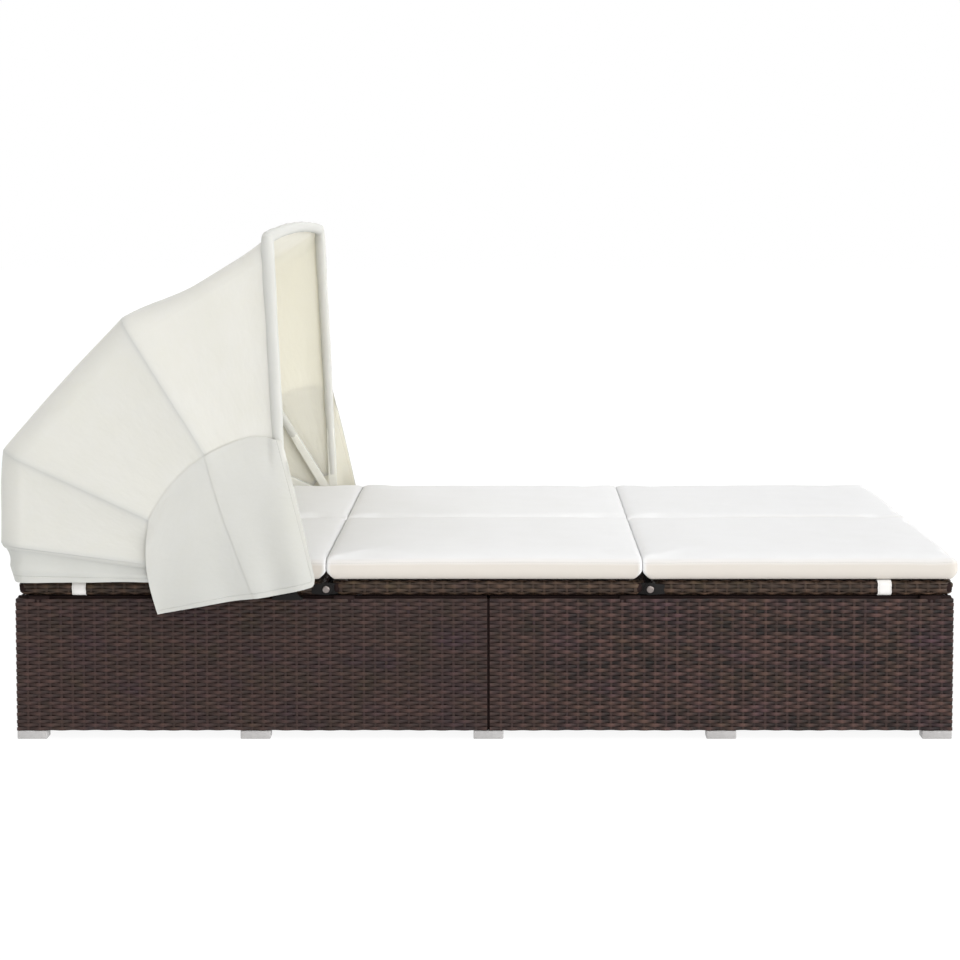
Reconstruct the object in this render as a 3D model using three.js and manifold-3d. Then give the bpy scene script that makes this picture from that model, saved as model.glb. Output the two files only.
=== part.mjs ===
// Outdoor daybed for two with a folding canopy, a raising backrest and a raising footrest.
// Millimetres. +X points to the foot end, +Y to the far side and +Z up. The origin is on the
// floor under the middle of the whole daybed.
import * as THREE from "three";
import { mergeVertices } from "three/addons/utils/BufferGeometryUtils.js";
import Module from "manifold-3d";

const wasm = await Module();
wasm.setup();

// Base
const BASE_LENGTH = 2000;
const BASE_WIDTH = 1200;
const ORIGIN_SHIFT = 12.9;
const GAP = 0.3;
const PANEL_THICKNESS = 28;
const PANEL_BOTTOM = 18;
const PANEL_TOP = 301;
const PANEL_EDGE = 2;
const POST_EDGE = 3;
const POST_WIDTH = 50;
const WEB_SETBACK = 2;
const MODULE_SEAM = 8;
const INSIDE_WIDTH = BASE_WIDTH - 2 * PANEL_THICKNESS - 2 * GAP;
const FOOT_SIZE = [64, 36];
const FOOT_EDGE = 2;
const FOOT_PLACES = [-967, -490, MODULE_SEAM, 506, 967];
const FOOT_CORNER = 4;
const FOOT_SETBACK = 1;
const REST_PAD = [44, 20];
const REST_PAD_SUNK = 6;
const REST_PAD_PLACES = [-950, -300, 310, 950];

// Lounging sections: wrapped tube frames with woven decks
const HINGE_Z = 322;
const HEAD_HINGE_X = -338;
const FOOT_HINGE_X = 353;
const RAIL_BOTTOM = 310;
const RAIL_TOP = 340;
const RAIL_WIDTH = 28;
const RAIL_EDGE = 11;
const RAIL_CORNER = 32;
const INNER_CORNER = 8;
const SECTION_HALF_WIDTH = 597;
const HEAD_END_X = -999;
const FOOT_END_X = 1004;
const MOVING_SETBACK = 17;
const FIXED_SETBACK = 19;
const RIB_Y = 300;
const RIB_SIZE = 20;
const DECK_THICKNESS = 8;
const DECK_EDGE = 1.5;
const DECK_SIDE_GAP = 2.2;

// Hinges of the sections
const LUG_RADIUS = 13;
const LUG_LAP = 14;
const LUG_END_HALF = 9.75;
const PLATE_THICKNESS = 4;
const FIXED_PLATE_Y = 585;
const MOVING_PLATE_Y = 590;
const HINGE_BOLT_RADIUS = 4;
const HINGE_CLEARANCE = 0.3;
const HINGE_HEAD_RADIUS = 8;
const HINGE_HEAD_HEIGHT = 5.5;
const HINGE_NUT_RADIUS = 6.5;
const HINGE_NUT_HEIGHT = 6;

// Props that hold the raised sections, and the racks they catch in
const STAY_PIVOT_OUT = 420;
const STAY_PIVOT_DOWN = 25;
const STAY_LENGTH = 400;
const STAY_LEAN = THREE.MathUtils.degToRad(5);
const STAY_RATIO = 0.22;
const STAY_RADIUS = 8;
const STAY_BEND = 45;
const STAY_LEG_Y = 287;
const STAY_STUB_RADIUS = 6;
const STAY_HEAD_RADIUS = 7;
const STAY_HEAD_HALF = 4;
const STAY_END_INSET = 2.4;
const EAR_WIDTH = 28;
const EAR_THICKNESS = 6;
const EAR_RADIUS = 12;
const EAR_TOP_DOWN = 8;
const EAR_HOLE_RADIUS = 6.5;
const BACK_STOPS = [10, 20, 30, 40, 50];
const LEG_STOPS = [11, 23, 35];
const RACK_Y = 200;
const RACK_THICKNESS = 6;
const RACK_CLEARANCE = 1;
const RACK_TOOTH = 7;
const RACK_OVERHANG = 8;
const NOTCH_FLOOR = [4, 5];
const LAST_CATCH = [3, 7];
const CATCH_WALL = 7;
const BEAM_TOP = 232;
const BEAM_HEIGHT = 36;
const BEAM_WIDTH = 20;
const BEAM_EDGE = 2;
const BEAM_OUT = [-24, 172];
const TIE_BEAM_TOP = 296;

// Cushions: two side by side, each in three sections
const CUSHION_BOTTOM = 342.5;
const CUSHION_EDGE_TOP = 385;
const CUSHION_CROWN = 9;
const CUSHION_ROUND = 8;
const CUSHION_PULL = 4;
const CUSHION_CORNER = 16;
const CUSHION_MIDDLE_GAP = 1.5;
const CUSHION_HEAD_X = -985;
const CUSHION_FOOT_X = 1009;
const HEAD_FOLD_SLOPE = Math.tan(THREE.MathUtils.degToRad(25.5));
const FOOT_FOLD_SLOPE = Math.tan(THREE.MathUtils.degToRad(18));
const FOLD_RISE = 3;
const FOLD_SHOULDER = 4;
const FOLD_CREASE = 5;
const FOLD_SHORTER = 12;
const STRAP_PLACES = [-864, 852];
const STRAP_WIDTH = 29;
const STRAP_THICKNESS = 1.4;

// Canopy: four bows on a common pivot each side
const PIVOT_X = -420;
const PIVOT_Z = 344;
const BOW_TUBE = 9.5;
const BOW_SIDES = 8;
const BOW_Y = 626;
const BOW_CORNER = 45;
const TONGUE_THICKNESS = 3.2;
const TONGUE_PITCH = 3.5;
const TONGUE_FIRST_Y = 606.2;
const TONGUE_END = 168;
const TONGUE_OUTLINE = [[-10.4, 4], [-8, 8], [-3, 10.6], [6, 11], [60, 11], [TONGUE_END, 9]];
const TUBE_START = 222;
const PIVOT_STUD = 5;
const PIVOT_HOLE = 5.4;
const BOWS = [
  { name: "canopy_bow_rear", angle: 7.6, radius: 603, arch: 3, layer: 0 },
  { name: "canopy_bow_low", angle: 24.8, radius: 651, arch: 6, layer: 1 },
  { name: "canopy_bow_middle", angle: 58.2, radius: 645, arch: 12, layer: 2 },
  { name: "canopy_bow_front", angle: 87.2, radius: 730, arch: 12, layer: 3 },
];
const CLOTH_OFFSET = 11;
const CLOTH_THICKNESS = 3;
const CLOTH_EDGE = 1.2;
const CLOTH_START = 70;
const SIDE_SAG = 6;
const PANELS = [
  { name: "canopy_panel_rear", from: 0, to: 1, sag: 4 },
  { name: "canopy_panel_middle", from: 1, to: 2, sag: 2 },
  { name: "canopy_panel_front", from: 2, to: 3, sag: 25 },
];
const HEM_Z = 345;
const HEM_X = -1006;
const SKIRT_FRONT = -150;
const SKIRT_ROWS = 3;
const CLOTH_ROWS = 5;
const FLAP_RADIUS = 317;
const FLAP_Y = 643;
const FLAP_THICKNESS = 2.5;
const FLAP_FOLD = 5;
const FLAP_ARC = [155, 91];
const FLAP_HEM = [[-269, -66], [-125, -40], [-20, -26], [66, -6]];
const FLAP_BULGE = [-14, 12];
const FLAP_GRID = [6, 12];

// Pivot bracket and clamping knob
const BRACKET_NECK = 18;
const BRACKET_FOOT = [32, 26];
const BRACKET_SCREW_X = 22;
const BRACKET_SCREW = [5.5, 2.2];
const KNOB_RADIUS = 17;
const KNOB_LOBES = 5;
const KNOB_LOBE_DEPTH = 3;
const KNOB_DEPTH = 11;
const KNOB_EDGE = 2;
const KNOB_COLLAR = [10, 4];

// Finishes
function finish(color, roughness, metalness) {
  return new THREE.MeshStandardMaterial({ color, roughness, metalness });
}
const weaveFinish = () => finish(0x463938, 0.55, 0);
const wrapFinish = () => finish(0x453934, 0.5, 0);
const footFinish = () => finish(0xd5d5d5, 0.4, 0);
const steelFinish = () => finish(0x2b2726, 0.5, 0.6);
const chromeFinish = () => finish(0xc4c4c4, 0.25, 1);
const cushionFinish = () => finish(0xf0f0ef, 0.9, 0);
const clothFinish = () => finish(0xe2e1d9, 0.9, 0);
const bowFinish = () => finish(0xcfcfcc, 0.4, 0.5);
const knobFinish = () => finish(0x2a2a2a, 0.6, 0);

// Joining and cutting of closed shapes
function toSolid(geometry) {
  const bare = geometry.index ? geometry.toNonIndexed() : geometry.clone();
  bare.deleteAttribute("normal");
  bare.deleteAttribute("uv");
  const merged = mergeVertices(bare, 1e-4);
  return new wasm.Manifold(new wasm.Mesh({
    numProp: 3,
    vertProperties: new Float32Array(merged.attributes.position.array),
    triVerts: new Uint32Array(merged.index.array),
  }));
}

function toGeometry(solid) {
  const mesh = solid.getMesh();
  const geometry = new THREE.BufferGeometry();
  geometry.setAttribute("position", new THREE.BufferAttribute(mesh.vertProperties, 3));
  geometry.setIndex(new THREE.BufferAttribute(mesh.triVerts, 1));
  return geometry;
}

function joined(first, ...others) {
  return toGeometry(others.reduce((sum, other) => sum.add(toSolid(other)), toSolid(first)));
}

function cut(first, ...others) {
  return toGeometry(others.reduce((rest, other) => rest.subtract(toSolid(other)), toSolid(first)));
}

// Basic shapes
function box(sizeX, sizeY, sizeZ, x = 0, y = 0, z = 0) {
  return new THREE.BoxGeometry(sizeX, sizeY, sizeZ).translate(x, y, z);
}

function rodAlongY(radius, fromY, toY, sides, x = 0, z = 0) {
  return new THREE.CylinderGeometry(radius, radius, toY - fromY, sides).translate(x, (fromY + toY) / 2, z);
}

function roundedRectangle(x0, y0, x1, y1, radius) {
  const shape = new THREE.Shape();
  shape.moveTo(x0 + radius, y0);
  shape.lineTo(x1 - radius, y0);
  shape.absarc(x1 - radius, y0 + radius, radius, -Math.PI / 2, 0);
  shape.lineTo(x1, y1 - radius);
  shape.absarc(x1 - radius, y1 - radius, radius, 0, Math.PI / 2);
  shape.lineTo(x0 + radius, y1);
  shape.absarc(x0 + radius, y1 - radius, radius, Math.PI / 2, Math.PI);
  shape.lineTo(x0, y0 + radius);
  shape.absarc(x0 + radius, y0 + radius, radius, Math.PI, Math.PI * 1.5);
  return shape;
}

// A plan outline raised from z0 to z1 with rounded edges
function slab(shape, z0, z1, edge, curveSegments = 4, bevelSegments = 2) {
  return new THREE.ExtrudeGeometry(shape, {
    depth: z1 - z0 - 2 * edge,
    bevelEnabled: edge > 0,
    bevelThickness: edge,
    bevelSize: edge,
    bevelOffset: -edge,
    bevelSegments,
    curveSegments,
  }).translate(0, 0, z0 + edge);
}

// An outline drawn in x and z, with its thickness along y, centred on y = 0
function plateAlongY(shape, thickness, curveSegments = 6) {
  return new THREE.ExtrudeGeometry(shape, { depth: thickness, bevelEnabled: false, curveSegments })
    .rotateX(Math.PI / 2)
    .translate(0, thickness / 2, 0);
}

// A closed skin through rings of equal length, with its faces turned outwards
function skin(rings) {
  const count = rings[0].length;
  const positions = [];
  const triangles = [];
  rings.forEach((ring) => ring.forEach((point) => positions.push(point.x, point.y, point.z)));
  for (let row = 0; row + 1 < rings.length; row += 1) {
    for (let i = 0; i < count; i += 1) {
      const next = (i + 1) % count;
      const a = row * count + i;
      const b = row * count + next;
      triangles.push(a, b, b + count, a, b + count, a + count);
    }
  }
  const last = (rings.length - 1) * count;
  for (let i = 1; i + 1 < count; i += 1) {
    triangles.push(0, i + 1, i);
    triangles.push(last, last + i, last + i + 1);
  }
  return outward(positions, triangles);
}

// A thin closed sheet between two matching grids of points
function sheet(outer, inner) {
  const rows = outer.length;
  const columns = outer[0].length;
  const positions = [];
  const triangles = [];
  [outer, inner].forEach((grid) => grid.forEach((row) => row.forEach((p) => positions.push(p.x, p.y, p.z))));
  const at = (side, row, column) => (side * rows + row) * columns + column;
  for (let row = 0; row + 1 < rows; row += 1) {
    for (let column = 0; column + 1 < columns; column += 1) {
      const face = (side) => [
        at(side, row, column),
        at(side, row, column + 1),
        at(side, row + 1, column + 1),
        at(side, row + 1, column),
      ];
      const [a, b, c, d] = face(0);
      const [e, f, g, h] = face(1);
      triangles.push(a, b, c, a, c, d, e, g, f, e, h, g);
    }
  }
  const rim = (a, b, c, d) => triangles.push(a, c, b, b, c, d);
  for (let column = 0; column + 1 < columns; column += 1) {
    rim(at(0, 0, column), at(0, 0, column + 1), at(1, 0, column), at(1, 0, column + 1));
    const end = rows - 1;
    rim(at(0, end, column + 1), at(0, end, column), at(1, end, column + 1), at(1, end, column));
  }
  for (let row = 0; row + 1 < rows; row += 1) {
    rim(at(0, row + 1, 0), at(0, row, 0), at(1, row + 1, 0), at(1, row, 0));
    const end = columns - 1;
    rim(at(0, row, end), at(0, row + 1, end), at(1, row, end), at(1, row + 1, end));
  }
  return outward(positions, triangles);
}

function outward(positions, triangles) {
  const corner = (index) => new THREE.Vector3().fromArray(positions, 3 * index);
  let volume = 0;
  for (let i = 0; i < triangles.length; i += 3) {
    volume += corner(triangles[i]).dot(corner(triangles[i + 1]).cross(corner(triangles[i + 2])));
  }
  if (volume < 0) triangles.reverse();
  const geometry = new THREE.BufferGeometry();
  geometry.setAttribute("position", new THREE.Float32BufferAttribute(positions, 3));
  geometry.setIndex(triangles);
  return geometry;
}

function part(name, geometry, material, parent, x = 0, y = 0, z = 0) {
  const mesh = new THREE.Mesh(geometry, material);
  mesh.name = name;
  mesh.position.set(x, y, z);
  parent.add(mesh);
  return mesh;
}

const SIDES = [{ label: "near", sign: -1 }, { label: "far", sign: 1 }];
const daybed = new THREE.Group();
daybed.name = "daybed";
daybed.position.x = ORIGIN_SHIFT;

// Woven base panels: a post at each end and a web set back a little between them
function panelShape(length) {
  const shape = new THREE.Shape();
  const half = length / 2;
  const outer = PANEL_THICKNESS;
  shape.moveTo(-half, 0);
  shape.lineTo(half, 0);
  shape.lineTo(half, outer - POST_EDGE);
  shape.lineTo(half - POST_EDGE, outer);
  shape.lineTo(half - POST_WIDTH, outer);
  shape.lineTo(half - POST_WIDTH - 2 * WEB_SETBACK, outer - WEB_SETBACK);
  shape.lineTo(-half + POST_WIDTH + 2 * WEB_SETBACK, outer - WEB_SETBACK);
  shape.lineTo(-half + POST_WIDTH, outer);
  shape.lineTo(-half + POST_EDGE, outer);
  shape.lineTo(-half, outer - POST_EDGE);
  return shape;
}

function basePanel(length, padPlaces) {
  const body = slab(panelShape(length), PANEL_BOTTOM, PANEL_TOP, PANEL_EDGE, 1, 1);
  const padTop = RAIL_BOTTOM - GAP;
  const padHeight = padTop - PANEL_TOP + REST_PAD_SUNK;
  const pads = padPlaces.map((x) =>
    box(REST_PAD[0], REST_PAD[1], padHeight, x, PANEL_THICKNESS / 2, padTop - padHeight / 2));
  return pads.length ? joined(body, ...pads) : body;
}

const modules = [
  { label: "head", from: -BASE_LENGTH / 2, to: MODULE_SEAM - GAP },
  { label: "foot", from: MODULE_SEAM + GAP, to: BASE_LENGTH / 2 },
];
for (const side of SIDES) {
  for (const { label, from, to } of modules) {
    const middle = (from + to) / 2;
    const pads = REST_PAD_PLACES.filter((x) => x > from && x < to).map((x) => (x - middle) * -side.sign);
    const panel = part(`side_panel_${side.label}_${label}`, basePanel(to - from, pads), weaveFinish(), daybed,
      middle, side.sign * (BASE_WIDTH / 2 - PANEL_THICKNESS));
    panel.rotation.z = side.sign < 0 ? Math.PI : 0;
  }
}
for (const { label, sign } of [{ label: "head", sign: -1 }, { label: "foot", sign: 1 }]) {
  const panel = part(`end_panel_${label}`, basePanel(INSIDE_WIDTH, []), weaveFinish(), daybed,
    sign * (BASE_LENGTH / 2 - PANEL_THICKNESS));
  panel.rotation.z = -sign * Math.PI / 2;
}

// Flat feet under the side panels
for (const side of SIDES) {
  FOOT_PLACES.forEach((x, index) => {
    const [length, width] = FOOT_SIZE;
    const shape = roundedRectangle(-length / 2, -width / 2, length / 2, width / 2, FOOT_CORNER);
    part(`foot_${side.label}_${index + 1}`, slab(shape, 0, PANEL_BOTTOM - GAP, FOOT_EDGE, 1, 1), footFinish(),
      daybed, x, side.sign * (BASE_WIDTH / 2 - FOOT_SETBACK - width / 2));
  });
}

// Tie beam across the seam of the two base halves
const tieOutline = roundedRectangle(-BEAM_WIDTH, -INSIDE_WIDTH / 2, BEAM_WIDTH, INSIDE_WIDTH / 2, BEAM_EDGE);
part("tie_beam", slab(tieOutline, TIE_BEAM_TOP - BEAM_HEIGHT, TIE_BEAM_TOP, BEAM_EDGE, 1, 1), steelFinish(),
  daybed, MODULE_SEAM);

// Path of a prop's foot bar, measured from its hinge: out along the section and up
function stayFoot(angle) {
  const out = STAY_PIVOT_OUT * Math.cos(angle) + STAY_PIVOT_DOWN * Math.sin(angle);
  const up = STAY_PIVOT_OUT * Math.sin(angle) - STAY_PIVOT_DOWN * Math.cos(angle);
  const lean = STAY_LEAN + angle * (1 + STAY_RATIO);
  return new THREE.Vector2(out - STAY_LENGTH * Math.cos(lean), up - STAY_LENGTH * Math.sin(lean));
}

// Notched rack under that path, drawn out from the hinge
function rackShape(stops) {
  const bottom = BEAM_TOP - HINGE_Z - RACK_OVERHANG;
  const below = (angle, depth) => {
    const foot = stayFoot(THREE.MathUtils.degToRad(angle));
    return [foot.x, foot.y - STAY_RADIUS - RACK_CLEARANCE - depth];
  };
  const step = stops[1] - stops[0];
  const last = stops[stops.length - 1];
  const shape = new THREE.Shape();
  shape.moveTo(BEAM_OUT[0] - RACK_OVERHANG, bottom);
  shape.lineTo(BEAM_OUT[0] - RACK_OVERHANG, below(0, NOTCH_FLOOR[0])[1]);
  shape.lineTo(...below(0, 0));
  for (const stop of stops.slice(0, -1)) {
    const [crestX, crestY] = below(stop - step / 2, 0);
    const [floorX, floorY] = below(stop, RACK_TOOTH);
    shape.lineTo(crestX, crestY);
    shape.lineTo(floorX - NOTCH_FLOOR[0], floorY);
    shape.lineTo(floorX + NOTCH_FLOOR[1], floorY);
  }
  shape.lineTo(...below(last - step / 2, 0));
  const [catchX, catchY] = below(last, 2 * RACK_CLEARANCE);
  const wallX = catchX + STAY_RADIUS + 2 * RACK_CLEARANCE;
  const wallTop = catchY + STAY_RADIUS + CATCH_WALL;
  shape.lineTo(catchX - LAST_CATCH[0], catchY);
  shape.lineTo(catchX + LAST_CATCH[1], catchY);
  shape.lineTo(wallX, wallTop);
  shape.lineTo(wallX + CATCH_WALL, wallTop);
  shape.lineTo(BEAM_OUT[1] + RACK_OVERHANG, BEAM_TOP - HINGE_Z + CATCH_WALL);
  shape.lineTo(BEAM_OUT[1] + RACK_OVERHANG, bottom);
  return shape;
}

function rackFrame(direction, stops) {
  const outline = rackShape(stops).getPoints(1).map((p) => new THREE.Vector2(direction * p.x, p.y));
  const racks = SIDES.map((side) => plateAlongY(new THREE.Shape(outline), RACK_THICKNESS)
    .translate(0, side.sign * RACK_Y, 0));
  const beams = BEAM_OUT.map((out) => box(BEAM_WIDTH, INSIDE_WIDTH, BEAM_HEIGHT,
    direction * out, 0, BEAM_TOP - HINGE_Z - BEAM_HEIGHT / 2));
  return joined(beams[0], beams[1], ...racks);
}

// Wrapped tube frame of one section with two ribs under the deck, z measured from the hinge
function sectionFrame(x0, x1) {
  const w = SECTION_HALF_WIDTH;
  const shape = roundedRectangle(x0, -w, x1, w, RAIL_CORNER);
  const t = RAIL_WIDTH;
  shape.holes.push(roundedRectangle(x0 + t, -w + t, x1 - t, w - t, INNER_CORNER));
  const ring = slab(shape, RAIL_BOTTOM - HINGE_Z, RAIL_TOP - HINGE_Z, RAIL_EDGE, 2, 3);
  const ribTop = RAIL_TOP - HINGE_Z - DECK_THICKNESS - 2 * GAP;
  const ribs = SIDES.map((side) => box(x1 - x0 - t, RIB_SIZE, RIB_SIZE,
    (x0 + x1) / 2, side.sign * RIB_Y, ribTop - RIB_SIZE / 2));
  return joined(ring, ...ribs);
}

function deck(x0, x1) {
  const w = SECTION_HALF_WIDTH - RAIL_WIDTH - DECK_SIDE_GAP;
  const t = RAIL_WIDTH + GAP;
  const top = RAIL_TOP - HINGE_Z - GAP;
  const outline = roundedRectangle(x0 + t, -w, x1 - t, w, INNER_CORNER);
  return slab(outline, top - DECK_THICKNESS, top, DECK_EDGE, 1, 1);
}

// Flat hinge lug reaching from the hinge to a rail end, on both sides
function hingeLugs(toX, y) {
  const reach = toX + Math.sign(toX) * LUG_LAP;
  const turn = toX > 0 ? Math.PI / 2 : -Math.PI / 2;
  return SIDES.map((side) => {
    const shape = new THREE.Shape();
    shape.absarc(0, 0, LUG_RADIUS, turn, turn + Math.PI, false);
    shape.lineTo(reach, -Math.sign(toX) * LUG_END_HALF);
    shape.lineTo(reach, Math.sign(toX) * LUG_END_HALF);
    return plateAlongY(shape, PLATE_THICKNESS, 5).translate(0, side.sign * y, 0);
  });
}

function hingeHoles() {
  const radius = HINGE_BOLT_RADIUS + HINGE_CLEARANCE;
  return rodAlongY(radius, -BASE_WIDTH / 2, BASE_WIDTH / 2, 12);
}

// Ears below the ribs that carry a prop
function stayEars(direction) {
  const x = direction * STAY_PIVOT_OUT;
  const half = EAR_WIDTH / 2;
  return SIDES.map((side) => {
    const shape = new THREE.Shape();
    shape.moveTo(x - half, -EAR_TOP_DOWN);
    shape.absarc(x, -STAY_PIVOT_DOWN, EAR_RADIUS, Math.PI, 2 * Math.PI, false);
    shape.lineTo(x + half, -EAR_TOP_DOWN);
    const ear = plateAlongY(shape, EAR_THICKNESS, 4).translate(0, side.sign * RIB_Y, 0);
    const hole = rodAlongY(EAR_HOLE_RADIUS, -EAR_THICKNESS, EAR_THICKNESS, 12)
      .translate(x, side.sign * RIB_Y, -STAY_PIVOT_DOWN);
    return cut(ear, hole);
  });
}

function movingFrame(direction, endX) {
  const inner = direction * MOVING_SETBACK;
  const [x0, x1] = [Math.min(inner, endX), Math.max(inner, endX)];
  const whole = joined(sectionFrame(x0, x1), ...hingeLugs(inner, MOVING_PLATE_Y), ...stayEars(direction));
  return cut(whole, hingeHoles());
}

// U-shaped prop: bent tube whose ends turn out into stubs that sit in the ears
class StayPath extends THREE.Curve {
  getPoint(t, target = new THREE.Vector3()) {
    const leg = STAY_LENGTH - STAY_BEND;
    const bend = STAY_BEND * Math.PI / 2;
    const bar = STAY_LEG_Y - STAY_BEND;
    const half = leg + bend + bar;
    const along = Math.abs(2 * t - 1) * half;
    const sign = t < 0.5 ? -1 : 1;
    if (along < bar) return target.set(STAY_LENGTH, sign * along, 0);
    if (along < bar + bend) {
      const turn = (along - bar) / STAY_BEND;
      return target.set(leg + STAY_BEND * Math.cos(turn), sign * (bar + STAY_BEND * Math.sin(turn)), 0);
    }
    return target.set(leg - (along - bar - bend), sign * STAY_LEG_Y, 0);
  }
}

function stay(direction) {
  const round = new THREE.Shape();
  round.absarc(0, 0, STAY_RADIUS, 0, 2 * Math.PI);
  const tube = new THREE.ExtrudeGeometry(round, { steps: 44, curveSegments: 4, extrudePath: new StayPath() });
  const stubs = SIDES.map((side) => {
    const ends = [side.sign * (STAY_LEG_Y - STAY_HEAD_HALF), side.sign * (RIB_Y + EAR_THICKNESS)];
    return rodAlongY(STAY_STUB_RADIUS, Math.min(...ends), Math.max(...ends), 10, STAY_END_INSET);
  });
  const heads = SIDES.map((side) => rodAlongY(STAY_HEAD_RADIUS, side.sign * STAY_LEG_Y - STAY_HEAD_HALF,
    side.sign * STAY_LEG_Y + STAY_HEAD_HALF, 10, STAY_END_INSET));
  const whole = joined(tube, ...heads, ...stubs);
  whole.translate(-STAY_END_INSET, 0, 0);
  return direction < 0 ? whole : whole.rotateZ(Math.PI);
}

// Bolt with a domed head outside and a nut inside, centred on the two lugs
function hingeBolt() {
  const headStart = MOVING_PLATE_Y + PLATE_THICKNESS / 2 + GAP;
  const nutStart = FIXED_PLATE_Y - PLATE_THICKNESS / 2 - GAP;
  const r = HINGE_HEAD_RADIUS;
  const nutEnd = nutStart - HINGE_NUT_HEIGHT;
  const crown = headStart + HINGE_HEAD_HEIGHT;
  const profile = [
    [0, nutEnd], [HINGE_NUT_RADIUS, nutEnd], [HINGE_NUT_RADIUS, nutStart], [HINGE_BOLT_RADIUS, nutStart],
    [HINGE_BOLT_RADIUS, headStart], [r, headStart], [r, crown - 3.5], [r * 0.75, crown - 1], [0, crown],
  ].map(([x, y]) => new THREE.Vector2(x, y));
  return new THREE.LatheGeometry(profile, 10);
}

// Middle section, fixed to the base
const headHinge = new THREE.Group();
headHinge.position.set(HEAD_HINGE_X, 0, HINGE_Z);
const footHinge = new THREE.Group();
footHinge.position.set(FOOT_HINGE_X, 0, HINGE_Z);
daybed.add(headHinge, footHinge);

const seatFrom = HEAD_HINGE_X + FIXED_SETBACK;
const seatTo = FOOT_HINGE_X - FIXED_SETBACK;
function seatFrame() {
  const headLugs = hingeLugs(FIXED_SETBACK, FIXED_PLATE_Y).map((lug) => lug.translate(HEAD_HINGE_X, 0, 0));
  const footLugs = hingeLugs(-FIXED_SETBACK, FIXED_PLATE_Y).map((lug) => lug.translate(FOOT_HINGE_X, 0, 0));
  const holes = [HEAD_HINGE_X, FOOT_HINGE_X].map((x) => hingeHoles().translate(x, 0, 0));
  return cut(joined(sectionFrame(seatFrom, seatTo), ...headLugs, ...footLugs), ...holes);
}
part("seat_frame", seatFrame(), wrapFinish(), daybed, 0, 0, HINGE_Z);
part("seat_deck", deck(seatFrom, seatTo), weaveFinish(), daybed, 0, 0, HINGE_Z);

// Raising sections with their props and racks
const sections = [
  { label: "back", hinge: headHinge, direction: -1, end: HEAD_END_X - HEAD_HINGE_X, stops: BACK_STOPS },
  { label: "leg", hinge: footHinge, direction: 1, end: FOOT_END_X - FOOT_HINGE_X, stops: LEG_STOPS },
];
for (const { label, hinge, direction, end, stops } of sections) {
  const inner = direction * MOVING_SETBACK;
  part(`${label}_frame`, movingFrame(direction, end), wrapFinish(), hinge);
  part(`${label}_deck`, deck(Math.min(inner, end), Math.max(inner, end)), weaveFinish(), hinge);
  const prop = part(`${label}_prop`, stay(direction), steelFinish(), hinge,
    direction * STAY_PIVOT_OUT, 0, -STAY_PIVOT_DOWN);
  prop.rotation.y = -direction * STAY_LEAN;
  part(`${label}_rack_frame`, rackFrame(direction, stops), steelFinish(), hinge);
  for (const side of SIDES) {
    const bolt = part(`${label}_hinge_bolt_${side.label}`, hingeBolt(), chromeFinish(), hinge);
    bolt.rotation.z = side.sign < 0 ? Math.PI : 0;
  }
}

// Outline of a cushion at one height, with its long sides drawn in between the corners
function cushionRing(x0, x1, y0, y1, inset, z) {
  const radius = Math.max(CUSHION_CORNER - inset * 0.2, 3);
  const [left, right, low, high] = [x0 + inset, x1 - inset, y0 + inset, y1 - inset];
  const corners = [
    [right - radius, low + radius, -Math.PI / 2], [right - radius, high - radius, 0],
    [left + radius, high - radius, Math.PI / 2], [left + radius, low + radius, Math.PI],
  ];
  const pull = CUSHION_PULL * Math.max(0, 1 - inset / 60);
  const points = [];
  corners.forEach(([cx, cy, start], index) => {
    for (let i = 0; i <= 2; i += 1) {
      const turn = start + (i / 2) * Math.PI / 2;
      points.push(new THREE.Vector3(cx + radius * Math.cos(turn), cy + radius * Math.sin(turn), z));
    }
    const [nx, ny] = corners[(index + 1) % 4];
    const out = start + Math.PI / 2;
    for (let i = 1; i <= 3; i += 1) {
      const share = i / 4;
      const draw = radius - pull * (1 - (2 * share - 1) ** 2);
      points.push(new THREE.Vector3(
        cx + (nx - cx) * share + draw * Math.cos(out),
        cy + (ny - cy) * share + draw * Math.sin(out), z));
    }
  });
  return points;
}

// Crowned cushion section; its ends lean away from the hinge lines they meet. Each level gives how
// far its outline is drawn in and its height.
function cushion(endAt, y0, y1) {
  const mid = (CUSHION_BOTTOM + CUSHION_EDGE_TOP) / 2;
  const top = CUSHION_EDGE_TOP;
  const levels = [
    [CUSHION_ROUND * 1.5, CUSHION_BOTTOM], [1.5, CUSHION_BOTTOM + CUSHION_ROUND * 0.7],
    [0, mid - 4], [0, mid + 6], [2, top - CUSHION_ROUND * 0.6], [CUSHION_ROUND, top],
    [36, top + CUSHION_CROWN * 0.45], [100, top + CUSHION_CROWN * 0.8], [200, top + CUSHION_CROWN],
  ];
  return skin(levels.map(([inset, z]) => {
    const [x0, x1] = endAt(Math.min(z, top));
    return cushionRing(x0, x1, y0, y1, inset, z);
  }));
}

const headLean = (z) => (z - HINGE_Z) * HEAD_FOLD_SLOPE;
const footLean = (z) => (z - HINGE_Z) * FOOT_FOLD_SLOPE;
const cushionEnds = {
  back: (z) => [CUSHION_HEAD_X, HEAD_HINGE_X - headLean(z)],
  seat: (z) => [HEAD_HINGE_X + headLean(z), FOOT_HINGE_X - footLean(z)],
  leg: (z) => [FOOT_HINGE_X + footLean(z), CUSHION_FOOT_X],
};

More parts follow.
